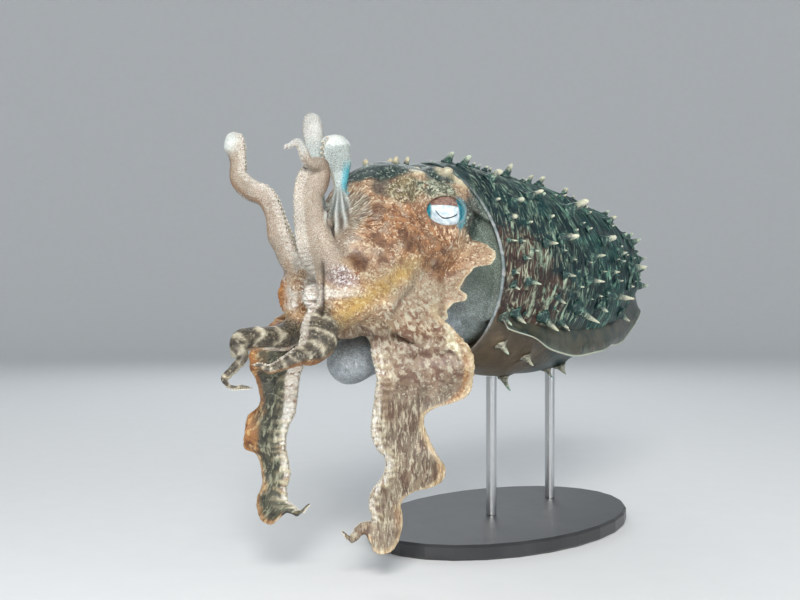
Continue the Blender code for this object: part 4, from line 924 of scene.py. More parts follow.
def arm_ring(arm, at, points=22):
    """One rounded section of an arm, with its keel's edge and the ribs beside the suckers."""
    centre, aboral, side, tangent, depth, width = arm_frame(arm, at)
    keel = max(0.0, float(curve(arm["route"], at)[0, 5])) if len(arm["route"][0]) > 5 else 0.0
    blade = min(1.0, keel / 8)
    edge = width * 0.40 * (1 - blade) + KEEL_EDGE / 2 * blade
    flank = width * 0.85 * (1 - blade) + KEEL_THICK / 2 * blade
    rib = width * 0.14
    half = (
        (depth + keel, edge), (depth * 0.7 + keel * 0.48, flank),
        (depth * 0.15, width * (1.0 - 0.08 * blade)), (-depth * 0.62, width * 0.86),
        (-depth * 0.98 - rib * 0.5, width * 0.62 + rib * 0.8), (-depth * 0.86, width * 0.22),
    )
    outline = np.array(list(half) + [(k, -t) for k, t in reversed(half)])
    outline = np.concatenate((outline[-1:], outline, outline[:2]))
    smooth = curve(outline, 1 + np.linspace(0, len(half) * 2, points + 1))
    sway = math.sin(centre[2] * 0.19) * min(3.5, keel * 0.12)
    reach = np.clip((smooth[:, 0] - depth) / max(keel, 1), 0, 1) ** 2 * sway
    shape = centre + np.outer(smooth[:, 0], aboral) + np.outer(smooth[:, 1] + reach, side)
    edge = np.clip(1 - (depth + keel - smooth[:, 0]) / 14, 0, 1) * float(rise(keel, 2, 6))
    return shape, smooth[:, 0] / depth, edge


def egg_ring(section, way, points=64):
    """An egg-shaped section square to the given way."""
    x, y, z, half_width, higher, lower = section
    across = unit((-way[1], way[0], 0))
    up = np.cross(across, way)
    up *= -1 if up[2] < 0 else 1
    turns = np.linspace(0, 2 * math.pi, points + 1)
    height = np.cos(turns)
    height = height * np.where(height > 0, higher, lower)
    return np.array((x, y, z)) + np.outer(np.sin(turns) * half_width, across) + np.outer(height, up)


def closed_rows(rows):
    """Rows of points with both ends drawn together to a point."""
    rows = np.array(rows)
    ends = [np.broadcast_to(rows[k].mean(axis=0), rows[k].shape)[None] for k in (0, -1)]
    return np.concatenate((ends[0], rows, ends[1]))


def web_loop(arm, at, size):
    """A small loop inside an arm, from which a web spans to the next arm."""
    centre, aboral, side, tangent, depth, width = arm_frame(arm, at)
    middle = centre + aboral * depth * 0.1
    return [middle + aboral * k * depth * size + side * t * width * size
            for k, t in ((1, 0), (0.7, 0.7), (0, 1), (-0.7, 0.7), (-1, 0), (-0.7, -0.7),
                         (0, -1), (0.7, -0.7))]


def add_hull(body, points):
    """Adds the convex hull of points to a bmesh."""
    verts = [body.verts.new((p + BODY_PLACE) * MM) for p in np.asarray(points, float)]
    hull = bmesh.ops.convex_hull(body, input=verts)
    bmesh.ops.delete(body, geom=list({v for v in hull["geom_interior"]}), context="VERTS")


# Each shell's points are also kept with what they belong to: the arm's number or another
# part's, the share of its length, how far to the back of the arm, and how near an edge.
HEAD, FUNNEL_PART, FLAP_PART, SPIKE_PART, ORBIT_PART, COLLAR_PART = 0, 9, 10, 11, 12, 13
known = []


def keep(rows, part, along, back, edge):
    """Remembers which part each point of a shell belongs to."""
    values = [np.broadcast_to(v, rows.shape[:2]).ravel() for v in (part, along, back, edge)]
    known.append(np.column_stack((rows.reshape(-1, 3), *values)))


body = bmesh.new()
places = np.linspace(0, len(HEAD_SECTIONS) - 1, 70)
rows = np.array([egg_ring(section, unit(way)) for section, way
                 in zip(curve(HEAD_SECTIONS, places), curve(HEAD_WAYS, places))])
add_grid(body, closed_rows(rows))
keep(rows, HEAD, (places / 9)[:, None], 0, 0)

for side in (-1, 1):
    x, y, z = EYE_CENTRE
    look = Vector((EYE_LOOK[0], EYE_LOOK[1] * side, EYE_LOOK[2])).normalized()
    turn = look.to_track_quat("Z", "Y").to_matrix().to_4x4()
    for radii in (ORBIT_RADII, [EYE_RADIUS + 1.6] * 3):
        ball = bmesh.ops.create_uvsphere(body, u_segments=40, v_segments=24, radius=1)
        size = Matrix.Diagonal((*(r * MM for r in radii), 1))
        spot = (Vector((x, y * side, z)) + Vector(BODY_PLACE)) * MM
        bmesh.ops.transform(body, matrix=Matrix.Translation(spot) @ turn @ size,
                            verts=ball["verts"])
        keep(np.array([v.co[:] for v in ball["verts"]])[None] / MM - BODY_PLACE,
             ORBIT_PART, 0, 0, 0)

    narrow = 1 if side < 0 else 0.74
    add_hull(body, [(px, py * side * narrow, pz) for px, py, pz in CHEEK_POINTS])

    for (px, py, pz), way, length, radius in HEAD_PAPILLAE:
        way = unit((way[0], way[1] * side, way[2]))
        level = unit(np.array((1, 0, 0)) - way * way[0])
        rows = papilla_rows(np.array((px, py * side, pz)), way, level, length, radius, 0.15,
                            blunt=0.9)
        add_grid(body, rows)
        keep(rows, SPIKE_PART, np.clip(PAPILLA_RISES, 0, 1)[:, None], side, radius > 6)

    rows, along, edges = [], [], []
    for share in np.linspace(0, 1, 110):
        x, y, z = curve(FLAP_ROOT, share * (len(FLAP_ROOT) - 1))[0]
        root = np.array((x, y * side, z))
        way = unit((FLAP_WAY[0], FLAP_WAY[1] * side, FLAP_WAY[2]))
        lift = unit((-way[1] * side, way[0] * side, 0))
        reach = table_value(FLAP_REACH, share)
        reach *= 1 + 0.035 * math.sin(share * 47) + 0.02 * math.sin(share * 83 + 1)
        outs = np.concatenate((np.linspace(-12, reach, 12), np.linspace(reach, -12, 12), [-12]))
        thick = np.interp(outs, (-12, reach * 0.45, reach - 2.5, reach), (4.2, 3.4, 2.6, 2.2)) / 2
        thick *= np.concatenate((np.ones(12), -np.ones(12), [1]))
        curl = np.clip(outs / reach, 0, 1) ** 2 * 1.8 * math.sin(share * 15 + 0.6)
        rows.append(root + np.outer(outs, way) + np.outer(thick + curl, lift))
        edges.append(np.clip(1 - (reach - outs) / 14, 0, 1) * float(rise(reach, 6, 14)))
        along.append(share)
    rows = np.array(rows)
    left_flap = rows if side < 0 else left_flap
    add_grid(body, closed_rows(rows))
    keep(rows, FLAP_PART, np.array(along)[:, None], side, np.array(edges))

places = np.linspace(0, len(FUNNEL) - 1, 40)
sections = curve(FUNNEL, places)
rows = []
for index, (x, y, z, radius) in enumerate(sections):
    way = unit(sections[min(index + 1, 39), :3] - sections[max(index - 1, 0), :3])
    rows.append(egg_ring((x, y, z, radius, radius, radius), way, 36))
rows = np.array(rows)
add_grid(body, closed_rows(rows))
keep(rows, FUNNEL_PART, (places / 6)[:, None], 0, 0)

for number, (name, arm) in enumerate(ARMS.items(), 1):
    last = len(arm["route"]) - 1
    stations = np.linspace(ROOT_START, last, int(last * STATIONS) + 1)
    rings, backs, edges = zip(*(arm_ring(arm, at) for at in stations))
    add_grid(body, closed_rows(rings))
    keep(np.array(rings), number, stations[:, None], np.array(backs), np.array(edges))

for first, second, bulge, reach in WEBS:
    fine = curve(reach, np.linspace(0, len(reach) - 1, 4 * (len(reach) - 1) + 1))
    for step in range(len(fine) - 1):
        cloud = []
        for way in (step, step + 1):
            near, far = fine[way]
            size = 0.95 * (1 - 0.5 * way / (len(fine) - 1))
            loops = (web_loop(ARMS[first], near, size), web_loop(ARMS[second], far, size))
            cloud += loops[0] + loops[1]
            if bulge:
                cloud += [(p + q) / 2 + np.array((0, bulge, 0)) for p, q in zip(*loops)]
        add_hull(body, cloud)

add_hull(body, web_loop(ARMS["arm_1_left"], 4.9, 0.9) + list(FAN_FEET))
add_hull(body, list(left_flap[94]) + list(arm_ring(ARMS["arm_4_left"], 3.2)[0]))
rim_top = mantle_surface(np.zeros(9), np.radians(np.linspace(-58, 48, 9)), -0.8)
add_hull(body, list(NAPE_POINTS) + list(rim_top - np.array((1.5, 0, 0))))

# The neck widens into a collar that meets the inside of the mantle's rim over the back.
turns = np.linspace(0, 2 * math.pi, 161)
degrees = np.degrees(np.abs((turns + math.pi) % (2 * math.pi) - math.pi))
loop = mantle_surface(np.zeros_like(turns), turns, -RIM_EDGE - 0.9)
axis = np.column_stack((loop[:, 0], np.zeros_like(turns), np.full_like(turns, -15)))
loop = axis + (loop - axis) * (1 - 0.24 * rise(degrees, 112, 136))[:, None]
rows = np.array([axis + (loop - axis) * share + np.array((shift, 0, 0)) for share, shift
                 in ((0, 12), (0.88, 12), (1, 3.5), (0.965, 1.6), (0.88, 0.4), (0.7, 0), (0, 0))])
add_grid(body, rows)
keep(rows, COLLAR_PART, 0, 0, 0)

rough_skin = bpy.data.meshes.new("rough_skin")
bmesh.ops.recalc_face_normals(body, faces=body.faces)
body.to_mesh(rough_skin)
body.free()
shells = bpy.data.objects.new("shells", rough_skin)
scene.collection.objects.link(shells)
fuse = shells.modifiers.new("fuse", "REMESH")
fuse.mode = "VOXEL"
fuse.voxel_size = SKIN_VOXEL
bpy.context.view_layer.update()
fused = bpy.data.meshes.new_from_object(
    shells.evaluated_get(bpy.context.evaluated_depsgraph_get()))
bpy.data.objects.remove(shells)

count = len(fused.vertices)
points = np.empty(count * 3)
fused.vertices.foreach_get("co", points)
points = points.reshape(-1, 3) / MM - BODY_PLACE
links = np.empty(len(fused.edges) * 2, np.int64)
fused.edges.foreach_get("vertices", links)
links = links.reshape(-1, 2)
degree = np.bincount(links.ravel(), minlength=count)

known = np.concatenate(known)
tree = KDTree(len(known))
for index, point in enumerate(known[:, :3].tolist()):
    tree.insert(point, index)
tree.balance()
hits = np.array([tree.find(point)[1:] for point in points.tolist()])
part, along, back, edge = known[hits[:, 0].astype(int), 3:].T
strayed = rise(hits[:, 1], 3.0, 6.0)


def spread(values):
    """The mean of each point's neighbours."""
    total = np.stack([np.bincount(links[:, 0], values[links[:, 1], k], count)
                      + np.bincount(links[:, 1], values[links[:, 0], k], count)
                      for k in range(values.shape[1])], axis=1)
    return total / degree[:, None]


# Joins in the middle of the crown are smoothed much, and thin tips and edges hardly.
is_arm = (part >= 1) & (part <= 8)
middle = np.clip(1 - np.linalg.norm((points - (-150, -12, -30)) / (64, 60, 62), axis=1) ** 2, 0, 1)
soft = 0.10 + 0.85 * np.clip(middle * 3, 0, 1)
soft[(part == FLAP_PART) & (edge > 0.2)] = 0.12
soft[is_arm & (edge > 0.5)] = 0.12
crossing = np.exp(-(((points[:, 2] + 80) / 8) ** 2)) * (points[:, 1] < -25) * (points[:, 0] > -142)
soft = np.maximum(soft, 0.85 * crossing * (edge < 0.75))
for _ in range(3):
    soft = spread(soft[:, None])[:, 0]
for _ in range(SMOOTH_ROUNDS):
    points += (spread(points) - points) * soft[:, None] * 0.6

# The eye openings: skin inside each almond is drawn back behind the eyeball.
LID_OPENING = (14.4, 10.6)
LID_RADIUS = EYE_RADIUS + 1.2
lid_near = np.zeros(count)
lid_ring = np.zeros(count)
lid_below = np.zeros(count)
for side in (-1, 1):
    centre = np.array((EYE_CENTRE[0], EYE_CENTRE[1] * side, EYE_CENTRE[2]))
    look = Vector((EYE_LOOK[0], EYE_LOOK[1] * side, EYE_LOOK[2])).normalized()
    turn = np.array(look.to_track_quat("Z", "Y").to_matrix())
    local = (points - centre) @ turn
    inside = np.hypot(local[:, 0] / LID_OPENING[0], local[:, 1] / LID_OPENING[1]) + 1e-6
    rim = np.hypot(local[:, 0], local[:, 1]) / inside
    edge_high = np.sqrt(np.clip(LID_RADIUS**2 - rim**2, 0, None))
    ahead = (local[:, 2] > -1) * (np.linalg.norm(local, axis=1) < 48)
    limit = edge_high + np.clip(inside - 1, 0, None) * rim * 0.28
    cut = np.clip(local[:, 2] - limit, 0, None) * (1 - rise(inside, 2.0, 3.0))
    cut += (limit - 5) * np.clip((1.03 - inside) / 0.08, 0, 1)
    points -= np.outer(cut * ahead, look)
    lid_near = np.maximum(lid_near, np.exp(-((inside - 1) / 0.5) ** 2) * ahead)
    lid_ring = np.maximum(lid_ring, np.exp(-((inside - 1.13) / 0.09) ** 2) * ahead)
    lid_below = np.maximum(lid_below, ahead * rise(-local[:, 1], 9, 13)
                           * (1 - rise(-local[:, 1], 20, 28))
                           * (1 - rise(np.abs(local[:, 0]), 10, 16)))

fused.vertices.foreach_set("co", ((points + BODY_PLACE) * MM).ravel())
fused.update()
normals = np.empty(count * 3)
fused.vertices.foreach_get("normal", normals)
normals = normals.reshape(-1, 3)

# Places on the side of the head, across towards the tail and up, in both sides alike, and
# round the root of the upper arm, from which the skin's folds spread.
x, y, z = points.T
tailward = 0.616 * x + 0.788 * np.abs(y)
noise_wide = rough(points, 15, 21)
noise_mid = rough(points, 6, 22)
from_root = np.hypot(tailward + 100, z - 5)
root_turn = np.arctan2(z - 5, tailward + 100)
root_turn = np.where(root_turn > 2.4, root_turn - 2 * math.pi, root_turn)
stretched = np.column_stack((from_root * 0.38, root_turn * 48, y * 0.3))
stretched = np.where((z < -108)[:, None],
                     np.column_stack((tailward, z * 0.22, y * 0.3)), stretched)
MOUTH_CENTRE = np.array((-184, -9, -45))
MOUTH_WAY = unit((-0.93, -0.1, -0.35))
mouth_far = np.linalg.norm(points - MOUTH_CENTRE, axis=1)
inner = rise(normals @ MOUTH_WAY, 0.25, 0.6) * (1 - rise(mouth_far, 30, 44)) * strayed
sideward = 0.616 * x - 0.788 * y
fan_turn = np.arctan2(tailward + 95, 48 - z)
fan = 1 - rise(np.hypot((tailward + 94) / 9, (z - 17) / 17), 0.7, 1.1)
strand = (0.5 + 0.5 * np.cos(fan_turn * 42 + noise_wide * 1.5)) ** 1.5
on_arm = np.where(is_arm, 1 - strayed, 0.0)


def patch(across, up, wide, high, lean=0.0):
    """A soft ragged oval on the side of the head."""
    cos, sin = math.cos(math.radians(lean)), math.sin(math.radians(lean))
    a = (tailward - across) * cos + (z - up) * sin
    b = (z - up) * cos - (tailward - across) * sin
    return 1 - rise(np.hypot(a / wide, b / high) + noise_mid * 0.22 + noise_wide * 0.12, 0.7, 1.15)


# Each paint has a ground, a darker blotch and a pale fleck, and the shares of the last two.
PAINTS = {
    "face": ((0.44, 0.30, 0.18), (0.24, 0.11, 0.050), (0.76, 0.65, 0.47), 0.48, 0.45),
    "rust": ((0.38, 0.185, 0.080), (0.175, 0.065, 0.025), (0.74, 0.56, 0.36), 0.50, 0.42),
    "bark": ((0.16, 0.080, 0.040), (0.085, 0.038, 0.020), (0.40, 0.27, 0.16), 0.50, 0.30),
    "slate": ((0.13, 0.100, 0.075), (0.07, 0.050, 0.035), (0.34, 0.29, 0.22), 0.45, 0.34),
    "grain": ((0.20, 0.155, 0.075), (0.085, 0.060, 0.025), (0.62, 0.59, 0.40), 0.50, 0.50),
    "moss": ((0.11, 0.145, 0.095), (0.030, 0.045, 0.030), (0.58, 0.64, 0.48), 0.52, 0.50),
    "plum": ((0.33, 0.235, 0.20), (0.17, 0.085, 0.070), (0.86, 0.83, 0.82), 0.50, 0.48),
    "sand": ((0.36, 0.29, 0.22), (0.22, 0.145, 0.095), (0.60, 0.56, 0.48), 0.46, 0.46),
    "ash": ((0.27, 0.21, 0.15), (0.11, 0.075, 0.05), (0.60, 0.58, 0.47), 0.42, 0.42),
    "ochre": ((0.47, 0.30, 0.085), (0.31, 0.165, 0.045), (0.70, 0.56, 0.28), 0.42, 0.42),
    "light": ((0.41, 0.31, 0.21), (0.26, 0.14, 0.085), (0.57, 0.53, 0.40), 0.46, 0.49),
    "lower": ((0.28, 0.20, 0.135), (0.16, 0.085, 0.055), (0.46, 0.41, 0.31), 0.48, 0.45),
    "leg": ((0.235, 0.185, 0.125), (0.12, 0.075, 0.048), (0.48, 0.43, 0.32), 0.48, 0.43),
    "night": ((0.022, 0.050, 0.044), (0.007, 0.020, 0.020), (0.44, 0.56, 0.46), 0.50, 0.38),
    "neck": ((0.140, 0.180, 0.145), (0.080, 0.110, 0.086), (0.36, 0.44, 0.38), 0.42, 0.45),
    "funnel": ((0.37, 0.42, 0.45), (0.17, 0.19, 0.20), (0.66, 0.74, 0.80), 0.42, 0.46),
    "club": ((0.40, 0.46, 0.45), (0.27, 0.26, 0.24), (0.58, 0.69, 0.68), 0.44, 0.48),
    "white": ((0.53, 0.55, 0.52), (0.40, 0.35, 0.30), (0.68, 0.73, 0.71), 0.42, 0.46),
    "snow": ((0.72, 0.79, 0.76), (0.56, 0.58, 0.52), (0.86, 0.91, 0.89), 0.30, 0.50),
    "beige": ((0.39, 0.325, 0.25), (0.28, 0.20, 0.14), (0.51, 0.46, 0.38), 0.46, 0.46),
    "olive": ((0.070, 0.070, 0.043), (0.026, 0.028, 0.020), (0.27, 0.28, 0.19), 0.50, 0.41),
    "dusk": ((0.105, 0.085, 0.058), (0.035, 0.030, 0.022), (0.32, 0.29, 0.21), 0.50, 0.40),
    "band": ((0.62, 0.57, 0.42), (0.42, 0.34, 0.22), (0.82, 0.80, 0.68), 0.30, 0.45),
    "oral": ((0.58, 0.53, 0.45), (0.31, 0.22, 0.16), (0.80, 0.79, 0.74), 0.42, 0.48),
    "orange": ((0.40, 0.17, 0.045), (0.22, 0.080, 0.020), (0.64, 0.38, 0.14), 0.46, 0.40),
    "cream": ((0.62, 0.56, 0.38), (0.44, 0.36, 0.20), (0.80, 0.77, 0.60), 0.30, 0.45),
    "blue": ((0.05, 0.40, 0.50), (0.02, 0.22, 0.31), (0.35, 0.70, 0.74), 0.35, 0.35),
    # The last paint is no colour of the skin: it is painted shade for creases, dents and the hollows
    # between folds.
    "shaded_groove": ((0.030, 0.024, 0.018), (0.015, 0.012, 0.009), (0.10, 0.08, 0.06), 0.40, 0.20),
}
coat = np.zeros((count, 11))
speckled = np.zeros(count)


def paint(word, share):
    """Lays a paint over what is there, by a share for each point."""
    ground, blotch, fleck, *shares = PAINTS[word]
    wanted = np.array((*ground, *blotch, *fleck, *shares))
    coat[:] += (wanted - coat) * np.clip(share, 0, 1)[:, None]


paint("face", np.ones(count))
paint("light", patch(-25, -40, 46, 26))
paint("lower", rise(-z + noise_wide * 6, 56, 74))
for word, across, up, wide, high, lean, share in (
        ("sand", -95, -4, 15, 16, 0, 1.0), ("rust", -46, 4, 33, 22, -12, 1.0),
        ("rust", -20, -14, 18, 18, 0, 0.9), ("face", -52, -8, 9, 5, 40, 0.6),
        ("bark", -79, -18, 6.5, 8.5, 20, 0.95), ("bark", -65, -4, 8, 5, -35, 0.8),
        ("bark", -68, 18, 9, 6, 0, 0.75), ("bark", -40, -2, 5, 4, 30, 0.5),
        ("bark", -24, -21, 7, 5, -30, 0.65), ("rust", -88, -46, 9, 6, 40, 0.8),
        ("plum", -91, -29, 16, 8, -35, 1.0), ("slate", -63, 34, 11, 7, -5, 1.0),
        ("grain", -47, 34, 15, 10, 25, 0.95), ("moss", -24, 38, 16, 9, -10, 0.9),
        ("ash", -84, 17, 12, 17, -30, 1.0)):
    paint(word, patch(across, up, wide, high, lean) * share)
paint("bark", rise(rough(points, 7, 41) + rough(points, 3.5, 42) * 0.5, 0.30, 0.62) * 0.75
      * np.maximum(patch(-46, 2, 36, 26, -12), patch(-20, -14, 20, 20)) * (z > -40))
paint("sand", rise(rough(points, 5, 43) + rough(points, 2.5, 44) * 0.5, 0.38, 0.70) * 0.7
      * (patch(-50, 0, 48, 34)) * (z > -50))
band_way = np.array((59.0, 41.0)) / math.hypot(59, 41)
band_run = (tailward + 99) * band_way[0] + (z + 61) * band_way[1]
band_off = (z + 61) * band_way[0] - (tailward + 99) * band_way[1]
ochre = np.exp(-((band_off / (9.5 - band_run * 0.04).clip(4, 12)) ** 2))
ochre *= rise(band_run, -14, 4) * (1 - rise(band_run, 58, 88)) * (1 + noise_mid * 0.4)
paint("ochre", ochre * 0.9)
paint("night", rise(z + noise_mid * 3 + noise_wide * 3 - np.abs(tailward + 62) * 0.10, 37, 42)
      * (1 - patch(-45, 38, 18, 9, 25) * 0.9))
paint("neck", (part == HEAD) * rise(x + noise_mid, -60, -54))
paint("neck", part == COLLAR_PART)
paint("funnel", ((part == COLLAR_PART) | (part == HEAD)) * (x > -75) * rise(-z, 25, 60) * 0.4)
paint("night", ((part == COLLAR_PART) | (part == HEAD)) * (x > -72)
      * rise(z + noise_mid * 2, 8, 32) * 0.9)
speckled[((part == HEAD) & (x > -57)) | (part == COLLAR_PART)] = 1

paint("funnel", part == FUNNEL_PART)
for number, start, words in (
        (1, 3.0, (("club", 0.0), ("snow", 8.8))), (2, 3.0, (("club", 0.0), ("white", 5.6))),
        (3, 2.7, (("beige", 0.0), ("white", 11.0))), (4, 2.7, (("beige", 0.0), ("snow", 9.6))),
        (5, 3.2, (("dusk", 0.0),)), (6, 3.0, (("dusk", 0.0),)),
        (7, 1.5, (("lower", 0.0), ("leg", 5.5))), (8, 1.7, (("olive", 0.0),))):
    here = (part == number) * on_arm * rise(along + noise_mid * 0.3, start, start + 0.8)
    for word, place in words:
        paint(word, here * (rise(along + noise_mid * 0.4, place, place + 1.2) if place else 1))
brown = rise(noise_wide + noise_mid * 0.5 + 0.25 * back, 0.05, 0.55)
paint("sand", ((part == 3) | (part == 4)) * on_arm * brown * 0.8 * (along > 3.5) * (along < 10))
paint("bark", (part == 3) * on_arm * rise(back, 0.6, 0.95) * 0.55 * rise(along, 6.2, 7.4)
      * (1 - rise(along, 8.6, 9.6)))
speckled = np.maximum(speckled, (part <= 4) * on_arm * rise(along, 2.5, 3.6))
speckled[part == FUNNEL_PART] = 1
oral = on_arm * rise(-back, 0.10, 0.60) * rise(along, 1.8, 2.8) * (part > 2)
long_arm = (part == 5) | (part == 6)
paint("oral", oral * np.where(long_arm, rise(-back, 0.55, 0.9), 0.95))
ripple = rise(np.sin(z * 1.1 + noise_mid * 2.6 + noise_wide * 5), -0.3, 0.7)
rippled = ((part == 7) | (part == 8)) * on_arm * rise(-back, -0.85, -0.05) * rise(along, 2.5, 4)
paint("cream", rippled * ripple * np.where(part == 8, 0.7, 0.5))
paint("oral", rippled * rise(-back, -0.5, 0.1) * (part == 8) * (z > -130) * 0.9)
paint("bark", (part == 7) * on_arm * rise(rough(points, 11, 45), 0.35, 0.6) * 0.6)
for number, length in ((5, 1.25), (6, 0.95)):
    wave = np.sin(along * math.pi * 2 * length + noise_mid * 1.4 + noise_wide * 1.2)
    paint("band", (part == number) * on_arm * rise(wave, 0.80, 0.93) * rise(along, 3.3, 4.0)
          * rise(back, -0.9, -0.2) * 0.95)
    under = rise(-normals[:, 2] + noise_mid * 0.2, 0.45, 0.85)
    paint("orange", (part == number) * on_arm * under * 0.85 * rise(along, 3.5, 4.5))
paint("band", (part == 6) * on_arm * rise(along, 6.4, 7.4) * rise(-back + noise_mid * 0.3, -0.5, 0.1))
paint("blue", (part == 1) * rise(back + noise_mid * 0.2, -0.1, 0.55) * rise(along, 4.7, 5.1)
      * (1 - rise(along, 6.1, 7.4)) * 0.9)
paint("snow", (part == 1) * rise(np.abs(back), 0.80, 0.98) * rise(along, 6.2, 7.2) * 0.8)
paint("orange", (part == 4) * on_arm * rise(back, 0.75, 0.95) * rise(along, 3.5, 4.5) * 0.6
      * (1 - rise(along, 8, 10)))
lobe_high = np.maximum(rise(-z, 76, 80) * (1 - rise(-z, 92, 97)),
                       rise(-z, 121, 126) * (1 - rise(-z, 150, 154)))
paint("orange", (part == 8) * on_arm * lobe_high * rise(edge + noise_mid * 0.08, 0.36, 0.62) * 0.9)
lobes = ((part == 7) | (part == 8)) * on_arm
paint("orange", lobes * rise(edge + noise_mid * 0.05, 0.74, 0.88) * 0.8)
paint("cream", lobes * rise(edge, 0.96, 1.0) * 0.6)
paint("orange", (part == FLAP_PART) * rise(edge + noise_mid * 0.04, 0.72, 0.88) * 0.5)
paint("cream", (part == FLAP_PART) * rise(edge, 0.91, 0.98))
paint("face", (part == SPIKE_PART) * (edge > 0.5) * (along > 0.02))
paint("cream", (part == SPIKE_PART) * rise(along + noise_mid * 0.06 - edge * 0.25, 0.35, 0.7) * 0.9)
paint("oral", inner)
membrane = (strayed > 0.5) * (x < -158) * (part != 7) * (part != 5)
paint("orange", membrane * rise(-sideward + noise_mid * 2, 127, 134) * rise(z, -64, -50))
paint("night", patch(3, 18, 8, 19) * rise(np.abs(y), 30, 40) * 0.9)
paint("blue", patch(-6.5, 20, 4.5, 12) * rise(np.abs(y), 30, 40) * 0.85)
# A thin dent along the web's edge beside the lips, painted dark as shade on the sides not facing +Y.
shaded_lip_crease = np.exp(-(((sideward + 102.6) / 1.2) ** 2)) * rise(z, -60, -52)
shaded_lip_crease *= (1 - rise(z, -24, -16)) * (x < -165) * (normals[:, 1] < 0.2)
paint("shaded_groove", shaded_lip_crease * 0.85)
paint("snow", fan * strand * 0.85)
# Painted shade in the hollows between the fan's pale folds.
paint("shaded_groove", fan * (1 - strand) * 0.6)
# A dent beside the upper arm's root, which is also painted dark as shade.
shaded_groove = patch(-99, 2, 3.0, 9, 0) * (part != 3) * (part != 4)
paint("shaded_groove", shaded_groove * 0.8)
tone = 1 + noise_wide * 0.10 + rough(points, 9, 46) * 0.14
coat[:, :9] *= tone[:, None]
for _ in range(2):
    coat = (coat + spread(coat)) / 2

radial = np.clip(rise(from_root, 8, 22) * (patch(-84, 17, 18, 22, -30) + rise(-z, 36, 56)), 0, 1)
radial *= rise(np.abs(z + 108), 0, 14) * (1 - on_arm * (part < 7))
for word, values in (("ground", coat[:, 0:3]), ("blotch", coat[:, 3:6]), ("fleck", coat[:, 6:9])):
    values = np.column_stack((values, np.ones(count))).astype(np.float32)
    fused.attributes.new(word, "FLOAT_COLOR", "POINT").data.foreach_set("color", values.ravel())
for word, values in (("blotched", coat[:, 9]), ("flecked", coat[:, 10]), ("radial", radial),
                     ("lid", lid_ring), ("wrinkled", lid_below), ("speckled", speckled)):
    fused.attributes.new(word, "FLOAT", "POINT").data.foreach_set(
        "value", np.ascontiguousarray(values, np.float32))
fused.attributes.new("stretched", "FLOAT_VECTOR", "POINT").data.foreach_set(
    "vector", (stretched * MM).astype(np.float32).ravel())

face_wrinkle = rough(points, 13, 11) * 0.8 + rough(points, 5, 12) * 0.45
face_wrinkle += (0.5 - np.abs(rough(stretched, 3.2, 18))) * 1.3 * radial
face_wrinkle += np.sin(tailward * 2.1 + noise_mid * 1.5) * 0.35 * lid_below
arm_wrinkle = rough(points, 9, 13) * 0.6 + rough(points, 3, 14) * 0.15
lift = np.where(is_arm & (along > 2.4), arm_wrinkle, face_wrinkle)
lift += rippled * (ripple - 0.5) * 0.7 + fan * (strand - 0.4) * 1.5
lift = np.where(part == FUNNEL_PART, rough(points, 12, 15) * 0.4, lift)
lift *= np.where((edge > 0.6) & ((part == FLAP_PART) | is_arm), 0.4, 1.0)
lift = np.where(((x > -54) & (part == HEAD)) | (part == COLLAR_PART),
                rough(points, 16, 16) * 0.3, lift)
lift += np.sin(z * 2.0 + noise_wide * 3 + y * 0.2) * 0.4 * np.maximum(inner, oral)
lift = lift * (1 - lid_near * 0.8) + lid_ring * 0.7 - shaded_groove * 2.0 - shaded_lip_crease * 1.6
points += normals * (lift - 0.3)[:, None]
fused.vertices.foreach_set("co", ((points + BODY_PLACE) * MM).ravel())
fused.update()

# The relief is kept with far fewer triangles where the skin is even.
shells = bpy.data.objects.new("shells", fused)
scene.collection.objects.link(shells)
thin = shells.modifiers.new("thin", "DECIMATE")
thin.ratio = SKIN_TRIANGLES / sum(len(face.vertices) - 2 for face in fused.polygons)
bpy.context.view_layer.update()
fused = bpy.data.meshes.new_from_object(
    shells.evaluated_get(bpy.context.evaluated_depsgraph_get()))
bpy.data.objects.remove(shells)

skin = Finish("head_and_arm_skin", 0.45, Coat_Weight=0.12, Coat_Roughness=0.25,
              Subsurface_Weight=0.06, Subsurface_Scale=0.004)
swirl = skin.painted("stretched", "Vector")
speckled = skin.painted("speckled")
mottle = skin.noise(210, 8, warp=0.5, rough=0.68)
slanted = skin.noise(260, 7, skin.place((0.5, 0.5, 1.2), (0.3, 0.9, 0.4)), 0.6, 0.66)
drawn = skin.noise(300, 7, swirl, 0.5, 0.64)
stipple = skin.noise(1250, 4, rough=0.6)
pattern = mottle * 0.6 + slanted * 0.4
pattern = pattern + (drawn - pattern) * skin.painted("radial")
pattern = pattern + (stipple - pattern) * speckled * 0.7
fine = skin.noise(560, 6, warp=0.3, rough=0.66)
fine_drawn = skin.noise(620, 5, swirl, 0.3, 0.64)
flecks = fine * 0.6 + slanted * 0.4
flecks = flecks + (fine_drawn - flecks) * skin.painted("radial")
wrinkle = skin.noise(520, 3, skin.place((1.0, 1.0, 0.22)), 0.6)
flecks = flecks + (wrinkle - flecks) * skin.painted("wrinkled")
flecks = flecks + (skin.noise(1600, 3, rough=0.6) - flecks) * speckled * 0.7
grain = skin.noise(1700, 3)
blotched = (pattern + skin.painted("blotched") * 0.45).step(0.665, 0.765)
flecked = (flecks + skin.painted("flecked") * 0.45).step(0.685, 0.80)
colour = skin.mix(blotched, skin.painted("ground", "Color"), skin.painted("blotch", "Color"))
colour = skin.mix(flecked, colour, skin.painted("fleck", "Color"))
colour = skin.mix(grain.step(0.34, 0.62), skin.mix(0.7, colour, (0.50, 0.45, 0.42), "MULTIPLY"),
                  colour)
colour = skin.mix(skin.painted("lid") * 0.45, colour, (0.20, 0.115, 0.075))
skin.give(Base_Color=colour, Roughness=fine * 0.2 + 0.36)
skin.bump(mottle * 0.5 + fine * 0.4 + grain * 0.12 + slanted * 0.3 + flecked * 0.12, 0.0015, 0.6)

